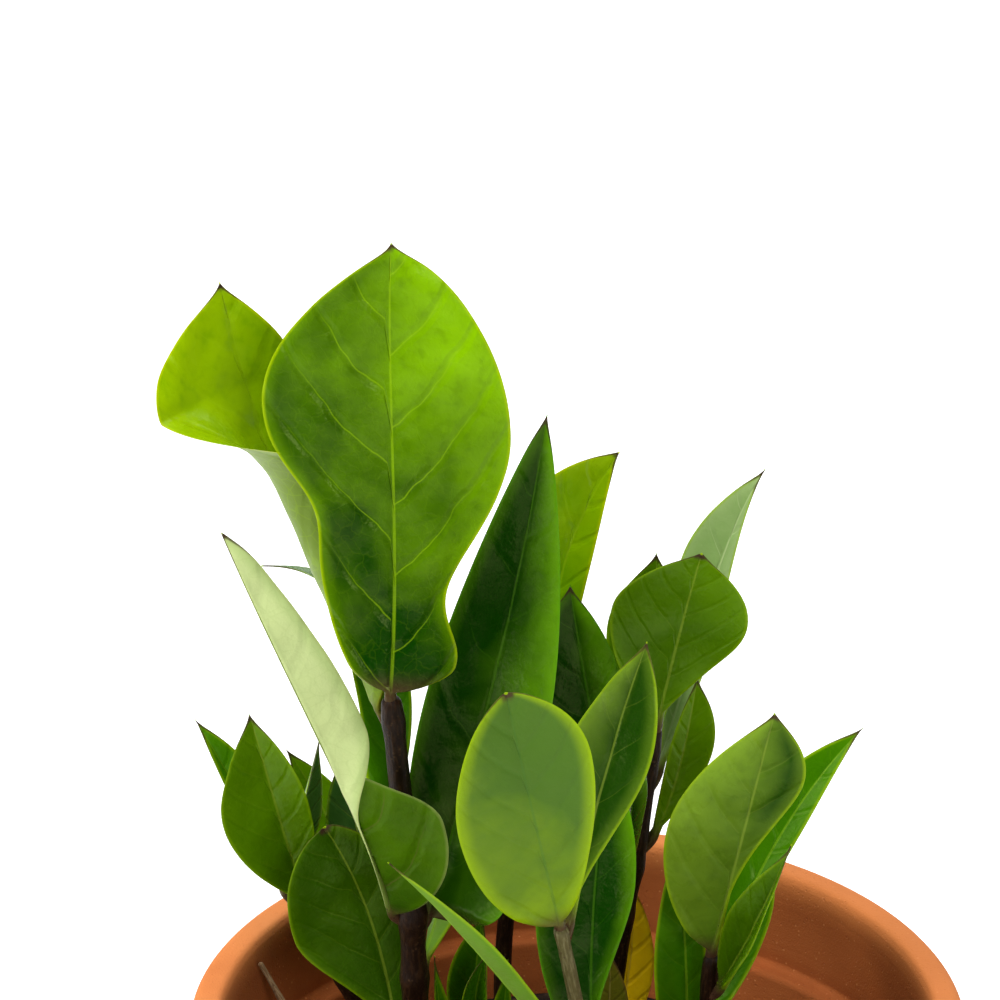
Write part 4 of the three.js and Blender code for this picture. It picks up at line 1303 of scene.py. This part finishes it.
LEAFLETS = (
    Leaflet(
        "leaf_top", "stem_tall", 1, (-34.4, -2, 190.2),
        face=((0.05, -0.9, 0.4),), bow=((2, 2, 0), (-1, 1, 0)),
        left=Side(23.3, TOP_LEFT, 6, -8), right=Side(21.5, TOP_RIGHT, 6, -8),
        leafage=Leafage.BRIGHT, fine=True, wave=0.45, point=0.8,
    ),
    Leaflet(
        "leaf_top_left", "stem_tall", 0.955, (-66.3, 16, 175.5),
        face=((0.5, -0.6, 0.4), (0.4, -0.8, 0.4)), bow=((-6, 9.5, -1), (-5, 8, 0)),
        left=Side(24, Outline(0.71, 0.4, 1.2, heel=0.1), (60, 50, 40, 10, 0), (90, 120, 130, 20, 0)),
        right=Side(12, OBOVATE, 10, 10), leafage=Leafage.FRESH, fine=True, wave=0.5,
    ),
    Leaflet(
        "leaf_top_right", "stem_tall", 0.6, (-6.4, 5, 153.8),
        face=((0, -0.9, 0.3),), bow=((2.5, 3, 0), (3, 2, 0)),
        left=Side(12, Outline(0.4, 0.8, 0.8), 10, 5),
        right=Side(15, Outline(0.36, 0.55, 0.9, heel=0.4), 35, 5), leafage=Leafage.DEEP, fine=True,
    ),
    Leaflet(
        "leaf_tall_back", "stem_tall", 0.79, (-59.8, 14, 119),
        face=((0.2, -0.8, 0.5), (0.2, -0.2, 0.9), (0, 0.4, 0.9)), bow=((9, 9, 8), (11, 7, 14)),
        left=Side(6, Outline(0.4, 0.5, 2, heel=0.2), 5, 5), right=Side(6, ELLIPTIC, 5, 5),
        leafage=Leafage.MIDDLE,
    ),
    Leaflet(
        "leaf_folded", "stem_tall", 0.625, (-64.3, -27, 145),
        face=((-0.3, -0.85, 0.4), (0.3, -0.75, 0.5), (0.4, -0.7, 0.5)),
        bow=((4.6, -9.7, 0), (1.5, -5, -2)),
        left=Side(9, Outline(0.5, 10, 0.6), (40, 150, 140), 10),
        right=Side(15.5, Outline(0.25, 1.8, 13), (0, 30, 80), 5),
        leafage=Leafage.FOLDED, fine=True, wave=0.6, ragged=0.2,
    ),
    Leaflet(
        "leaf_low_front", "stem_tall", 0.37, (-48.3, 0, 71),
        face=((0.1, -0.9, 0.4),), bow=((2, 6, 0), (3.5, 3, 0)),
        left=Side(15.5, Outline(0.6, 1, 0.3), 10, 5), right=Side(9, Outline(0.5, 0.8, 0.45), 5, 5),
        leafage=Leafage.OLIVE, bias=-0.35, point=0.2,
    ),
    Leaflet(
        "leaf_left_a", "stem_left", 0.85, (-73.6, 19, 84),
        face=((0.1, -0.8, 0.5),), bow=((-1, 0, 0), (0, 0, 0)),
        left=Side(2, ELLIPTIC, 10, 5), right=Side(5, Outline(0.62, 1.6, 1), 10, 5),
        leafage=Leafage.MIDDLE, bias=0.1,
    ),
    Leaflet(
        "leaf_left_b", "stem_left", 0.94, (-62.3, 5, 92.4),
        face=((0.2, -0.85, 0.4),), bow=((-1, 0, 0), (0, 0, 0)),
        left=Side(11.5, Outline(0.55, 0.8, 1), 10, 5), right=Side(6.5, ELLIPTIC, 25, 5),
        leafage=Leafage.OLIVE, bias=0.3,
    ),
    Leaflet(
        "leaf_left_c", "stem_left", 0.7, (-57, 32, 70.7),
        face=((0, -0.8, 0.5),), bow=((6, 9, 0), (4, 6, 0)),
        left=Side(4, Outline(0.6, 1.5, 1), 10, 5), right=Side(6, ELLIPTIC, 10, 5),
        leafage=Leafage.OLIVE, bias=1.2,
    ),
    Leaflet(
        "leaf_left_d", "stem_left", 1, (-49.8, 22, 78.4),
        face=((0.9, -0.3, 0.3),), bow=((0, 0, 0), (0, 0, 0)),
        left=Side(5, LANCE, 20, 5), right=Side(5, LANCE, 20, 5), leafage=Leafage.GREY_SHEEN, bias=0.9,
    ),
    Leaflet(
        "leaf_left_e", "stem_left", 0.8, (-46, 23, 73),
        face=((-0.3, -0.7, 0.6),), bow=((5, -1, 0), (5, -1, 0)),
        left=Side(6, SPOON, 10, 5), right=Side(6, SPOON, 10, 5), leafage=Leafage.GREY_SHEEN,
    ),
    Leaflet(
        "leaf_front_round", "stem_front", 1, (-14, -51, 125.5),
        face=((0, -0.9, 0.4),), bow=((0, -2, 0), (0, -2, 0)),
        left=Side(14, Outline(0.5, 0.45, 0.65), 8, 8), right=Side(12.6, Outline(0.72, 0.3, 0.5), 8, 8),
        leafage=Leafage.SOFT, fine=True, wave=0.2, point=0.1,
    ),
    Leaflet(
        "leaf_front_right", "stem_front", 0.985, (11.5, -22, 121),
        face=((0.35, -0.8, 0.4),), bow=((-1, 0, 0), (-1.5, 0, 0)),
        left=Side(10, ELLIPTIC, 10, 5), right=Side(7.3, Outline(0.6, 1.3, 0.8), 20, 5),
        leafage=Leafage.SHADE_AND_SHEEN, bias=-0.3,
    ),
    Leaflet(
        "leaf_front_dark", "stem_front", 0.62, (5.5, -14, 93),
        face=((0.1, -0.85, 0.4),), bow=((-2, 2, 0), (-2, 2, 0)),
        left=Side(12, ELLIPTIC, 15, 10), right=Side(8, Outline(0.6, 1.3, 0.8), 25, 10),
        leafage=Leafage.DEEP, bias=-0.5,
    ),
    Leaflet(
        "leaf_front_edge", "stem_front", 0.66, (-34.5, -62, 98),
        face=((0.35, 0.4, 0.85),), bow=((0, 0, 2), (0, 0, 3)),
        left=Side(4, LANCE, 25, 5), right=Side(4, LANCE, 25, 5), leafage=Leafage.MIDDLE, bias=0.15,
    ),
    Leaflet(
        "leaf_back_top", "stem_back", 1, (7.7, 30, 135.3),
        face=((0.2, -0.8, 0.4),), bow=((-8, 2, 0), (-7, 2, 0)),
        left=Side(13, Outline(0.6, 0.8, 0.7), 10, 5), right=Side(5, ELLIPTIC, 10, 5),
        leafage=Leafage.FRESH, bias=-0.25,
    ),
    Leaflet(
        "leaf_middle_left", "stem_middle", 0.72, (-1.8, 14, 115),
        face=((-0.1, -0.8, 0.5),), bow=((-1, 1, 0), (-1, 0, 0)),
        left=Side(12, OBOVATE, 10, 5), right=Side(7, OBOVATE, 10, 5), leafage=Leafage.DEEP, bias=-0.15,
    ),
    Leaflet(
        "leaf_middle_top", "stem_middle", 1, (22.4, 5, 125.9),
        face=((0.1, -0.7, 0.7),), bow=((0, 2, 0), (0, 2, 0)),
        left=Side(14, Outline(0.62, 0.5, 0.8), 8, 5), right=Side(12, Outline(0.66, 0.8, 0.8), 8, 5),
        leafage=Leafage.OLIVE, bias=0.1,
    ),
    Leaflet(
        "leaf_middle_back", "stem_middle", 0.95, (14.8, 26, 116),
        face=((-0.1, -0.7, 0.6),), bow=((-1, 6, 0), (1, 6, 0)),
        left=Side(9, ELLIPTIC, 8, 5), right=Side(6, ELLIPTIC, 8, 5), leafage=Leafage.OLIVE, bias=0.2,
    ),
    Leaflet(
        "leaf_middle_long", "stem_middle", 0.9, (35, 25, 134),
        face=((-0.5, -0.6, 0.5),), bow=((2, 14, 0), (-3, 6, 0)),
        left=Side(8, Outline(0.55, 1, 1), 15, 5), right=Side(5, LANCE, 15, 5), leafage=Leafage.PALE,
    ),
    Leaflet(
        "leaf_middle_low", "stem_middle", 0.77, (22.4, 11.5, 97),
        face=((0.2, -0.8, 0.5),), bow=((2.5, 0, 0), (1, 0, 0)),
        left=Side(3, ELLIPTIC, 8, 5), right=Side(5.5, Outline(0.6, 0.8, 1), 8, 5),
        leafage=Leafage.OLIVE, bias=0.5,
    ),
    Leaflet(
        "leaf_middle_dark", "stem_middle", 0.7, (10.5, -4, 92),
        face=((0.6, -0.6, 0.4),), bow=((-1, -4, 0), (0, -2, 0)),
        left=Side(4, ELLIPTIC, 8, 5), right=Side(4, ELLIPTIC, 8, 5), leafage=Leafage.DEEP, bias=-0.1,
    ),
    Leaflet(
        "leaf_yellow", "stem_middle", 0.28, (10.9, 22, 46.6),
        face=((-0.25, -0.6, 0.75),), bow=((2.5, 1, 0), (2.5, 1, 0)),
        left=Side(5.5, ELLIPTIC, 8, 5), right=Side(5.5, ELLIPTIC, 8, 5), leafage=Leafage.YELLOW,
    ),
    Leaflet(
        "leaf_brown", "stem_middle", 0.26, (6.2, 7, 40),
        face=((0.1, -0.85, 0.4),), bow=((1, 0, 0), (1, 0, 0)),
        left=Side(4, ELLIPTIC, 8, 5), right=Side(4, ELLIPTIC, 8, 5), leafage=Leafage.BROWN,
    ),
    Leaflet(
        "leaf_right_front", "stem_right", 1, (35.4, -14, 102.4),
        face=((0, -0.9, 0.4),), bow=((0, -1, 0), (0, -1, 0)),
        left=Side(14.5, Outline(0.5, 0.6, 1), 8, 5), right=Side(8.5, Outline(0.78, 1, 0.8), 8, 5),
        leafage=Leafage.SHADE_AND_SHEEN, fine=True, bias=0,
    ),
    Leaflet(
        "leaf_right_back", "stem_right", 0.95, (53.8, 8, 87.9),
        face=((-0.2, -0.7, 0.6),), bow=((-3, 3, 0), (-4, 3, 0)),
        left=Side(7.5, ELLIPTIC, 8, 5), right=Side(3.5, ELLIPTIC, 8, 5), leafage=Leafage.MIDDLE, bias=0.05,
    ),
    Leaflet(
        "leaf_right_edge", "stem_right", 0.9, (38.9, -19, 77.7),
        face=((-0.8, -0.4, 0.4),), bow=((0, -3, 0), (0, -3, 0)),
        left=Side(6, LANCE, 25, 5), right=Side(6, LANCE, 25, 5), leafage=Leafage.OLIVE, bias=-0.2,
    ),
    Leaflet(
        "leaf_right_low", "stem_right", 0.73, (37.2, 14, 62),
        face=((-0.2, -0.8, 0.5),), bow=((2, 5, 0), (1, 3, 0)),
        left=Side(2.6, ELLIPTIC, 8, 5), right=Side(5, ELLIPTIC, 8, 5), leafage=Leafage.MIDDLE,
    ),
    Leaflet(
        "leaf_right_left", "stem_right", 0.48, (18.4, 0, 67),
        face=((0.1, -0.8, 0.5),), bow=((1.5, 0, 0), (1.5, 0, 0)),
        left=Side(6.5, Outline(0.5, 0.5, 0.8), 8, 5), right=Side(4, ELLIPTIC, 8, 5),
        leafage=Leafage.MIDDLE,
    ),
    Leaflet(
        "leaf_rear_tall", "stem_tall", 0.5, (-14, 24, 92),
        face=((0.5, 0.7, 0.4),), bow=((0, 4, -3), (0, 3, -3)),
        left=Side(8, OBOVATE, 15, 5), right=Side(8, OBOVATE, 15, 5), leafage=Leafage.MIDDLE,
    ),
    Leaflet(
        "leaf_rear_back", "stem_back", 0.62, (-17, 49, 88),
        face=((0.8, 0.3, 0.4),), bow=((0, 3, -2), (0, 3, -2)),
        left=Side(8, OBOVATE, 15, 5), right=Side(8, OBOVATE, 15, 5), leafage=Leafage.MIDDLE,
    ),
    Leaflet(
        "leaf_rear_middle", "stem_middle", 0.6, (7, 43, 84),
        face=((-0.8, 0.4, 0.4),), bow=((0, 3, -2), (0, 3, -2)),
        left=Side(7, ELLIPTIC, 15, 5), right=Side(7, ELLIPTIC, 15, 5), leafage=Leafage.MIDDLE,
    ),
    Leaflet(
        "leaf_rear_right", "stem_right", 0.55, (33, 24, 62),
        face=((0.7, 0.5, 0.4),), bow=((-2, 3, -2), (0, 3, -2)),
        left=Side(6, ELLIPTIC, 15, 5), right=Side(6, ELLIPTIC, 15, 5), leafage=Leafage.MIDDLE,
    ),
    Leaflet(
        "leaf_shoot_back", "shoot_young", 0.95, (-18.1, 6, 49),
        face=((-0.2, -0.8, 0.5),), bow=((-1, 0, 0), (-1, 0, 0)),
        left=Side(5.5, ELLIPTIC, 20, 10), right=Side(3, ELLIPTIC, 20, 10), leafage=Leafage.MIDDLE,
    ),
    Leaflet(
        "leaf_shoot_rolled", "shoot_young", 1, (-17.5, -3, 45),
        face=((0, -0.8, 0.5),), bow=((-2, -3, 0), (-3, -3, 0)),
        left=Side(5, OBOVATE, 30, 60), right=Side(5, OBOVATE, 30, 60), leafage=Leafage.MIDDLE,
    ),
    Leaflet(
        "leaf_shoot_left", "shoot_young", 0.7, (-27.5, -3, 44.5),
        face=((0.6, -0.6, 0.4),), bow=((-2, -1, 0), (-2, 0, 0)),
        left=Side(3, LANCE, 20, 10), right=Side(3, LANCE, 20, 10), leafage=Leafage.MIDDLE,
    ),
    Leaflet(
        "leaf_shoot_right", "shoot_young", 0.75, (-13.5, 10, 36),
        face=((-0.4, -0.7, 0.5),), bow=((1, 1, 0), (1, 1, 0)),
        left=Side(3, LANCE, 20, 10), right=Side(3, LANCE, 20, 10), leafage=Leafage.MIDDLE,
    ),
)


# How far the mouth narrows down to the twig's end, and the flats of a wall of 36 sides.
MOUTH_TAPER = 0.26
FLAT_SHARE = math.cos(math.pi / 36)


@dataclass(frozen=True)
class Twig:
    """A dry twig that stands on the soil and leans against the inside of the pot."""

    pot: Pot
    soil: Soil
    radii: tuple[float, float] = (0.8, 0.5)
    bearing: float = 158.2
    stand_off: float = 12.7
    drop: float = 3.5
    bow: float = 0.8
    finish: StemFinish = StemFinish("dry_wood", srgb(120, 92, 64), srgb(160, 132, 98), srgb(70, 50, 36), 0.8)

    def build(self) -> None:
        """Builds the twig as a rough tube from the soil to the wall."""
        top = self.pot.height - self.drop
        foot = self.pot.inner_wall(self.soil.height()) - self.stand_off
        mouth = self.pot.rim_radius - self.pot.wall - MOUTH_TAPER
        reach = mouth * FLAT_SHARE - self.radii[1] - CLEARANCE
        bearing = math.radians(self.bearing)
        way = np.array([math.cos(bearing), math.sin(bearing)])
        middle = ((foot + reach) / 2 + self.bow, (self.soil.height() + top) / 2)
        stations = ((foot, self.soil.height()), middle, (reach, top))
        route = Route(tuple((*(radius * way), z) for radius, z in stations))
        tube = Tube(route, self.radii, sides=16, step=0.3, knots=(0.35, 0.72), roughness=0.12, seed=21)
        put(tube.skin().piece("zz_dry_twig"), self.finish.material(), "dry_twig", "dry_twig")


@dataclass(frozen=True)
class Plant:
    """The whole plant: tubers, stems and leaflets."""

    soil: Soil
    tuber_finish: EarthFinish = EarthFinish("tuber_skin", srgb(150, 120, 76), srgb(196, 168, 118), 160)

    def build(self) -> None:
        """Builds every piece of the plant."""
        ground = self.soil.height()
        skin = self.tuber_finish.material()
        for tuber in TUBERS:
            tuber.build(self.soil, skin)
        barks = {kind: finish.material() for kind, finish in STEM_FINISHES.items()}
        stems = {stem.name: stem for stem in STEMS}
        for stem in STEMS:
            knots = tuple(leaf.at for leaf in LEAFLETS if leaf.stem == stem.name and leaf.at < 1)
            stem.build(ground, knots, barks[stem.kind])
        looks = {leafage: finish.material() for leafage, finish in LEAF_FINISHES.items()}
        for leaf in LEAFLETS:
            leaf.build(stems[leaf.stem], ground, looks[leaf.leafage])


# ---------------------------------------------------------------- studio


@dataclass(frozen=True)
class Softbox:
    """A large soft light that looks at a point."""

    name: str
    place: Spot
    size: float
    power: float
    colour: Colour = (1.0, 1.0, 1.0)
    aim: Spot = (0.0, 0.0, 0.2)

    def build(self) -> None:
        """Adds the light."""
        data = bpy.data.lights.new(self.name, "AREA")
        data.shape, data.size = "SQUARE", self.size
        data.energy, data.color = self.power, self.colour
        light = bpy.data.objects.new(self.name, data)
        light.location = self.place
        light.rotation_euler = (Vector(self.aim) - Vector(self.place)).to_track_quat("-Z", "Y").to_euler()
        bpy.context.scene.collection.objects.link(light)


@dataclass(frozen=True)
class Studio:
    """A white floor, a soft world, the softboxes and the camera, in metres."""

    floor_half: float = 6.0
    floor_colour: Colour = srgb(250, 250, 250)
    floor_glow: float = 0.55
    world: Colour = (1.0, 1.0, 1.0)
    world_strength: float = 0.1
    camera_place: Spot = (-0.015, -0.728, 0.581)
    camera_aim: Spot = (-0.015, 0.0, 0.249)
    lens: float = 157.4
    sensor_width: float = 36
    boxes: tuple[Softbox, ...] = (
        Softbox("top", (-0.5, -0.2, 1.7), 1.3, 28),
        Softbox("key", (0.55, -1.5, 0.95), 0.6, 9),
        Softbox("left", (-1.5, -0.5, 0.9), 0.9, 13),
        Softbox("back", (0.4, 1.5, 1.1), 1.3, 16),
    )

    def build(self) -> None:
        """Builds the whole studio."""
        self.floor()
        self.sky()
        for box in self.boxes:
            box.build()
        self.camera()
        bpy.context.scene.view_settings.view_transform = "Standard"

    def floor(self) -> None:
        """A white floor that glows a little, so that it stays white where nothing stands on it."""
        half = self.floor_half
        points = np.array([[-half, -half, 0], [half, -half, 0], [half, half, 0], [-half, half, 0]]) / MM
        floor = mesh_piece("floor", points, [[0, 1, 2, 3]], {})
        graph = Graph("floor_paper")
        grain = graph.noise(graph.place(), 900, 3)
        colour = graph.mix(graph.times(grain, 0.03), self.floor_colour, (0.8, 0.8, 0.8))
        glow = {"Emission Color": self.floor_colour, "Emission Strength": self.floor_glow}
        graph.surface(colour, 0.9, graph.bump(grain, 0.05), 0.1, **glow)
        floor.data.materials.append(graph.material)

    def sky(self) -> None:
        """An even white world."""
        world = bpy.data.worlds.new("studio")
        world.use_nodes = True
        background = world.node_tree.nodes["Background"]
        background.inputs["Color"].default_value = (*self.world, 1)
        background.inputs["Strength"].default_value = self.world_strength
        bpy.context.scene.world = world

    def camera(self) -> None:
        """The camera in front of the plant, looking down on it."""
        data = bpy.data.cameras.new("camera")
        data.lens, data.sensor_width = self.lens, self.sensor_width
        camera = bpy.data.objects.new("camera", data)
        camera.location = self.camera_place
        look = Vector(self.camera_aim) - Vector(self.camera_place)
        camera.rotation_euler = look.to_track_quat("-Z", "Y").to_euler()
        bpy.context.scene.collection.objects.link(camera)
        bpy.context.scene.camera = camera


def main() -> None:
    """Loads the frame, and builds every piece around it."""
    logging.basicConfig(level=logging.INFO, format="%(name)s: %(message)s")
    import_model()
    pot = Pot()
    soil = Soil(pot)
    pot.build()
    soil.build()
    Twig(pot, soil).build()
    Plant(soil).build()
    Studio().build()


if __name__ == "__main__":
    main()
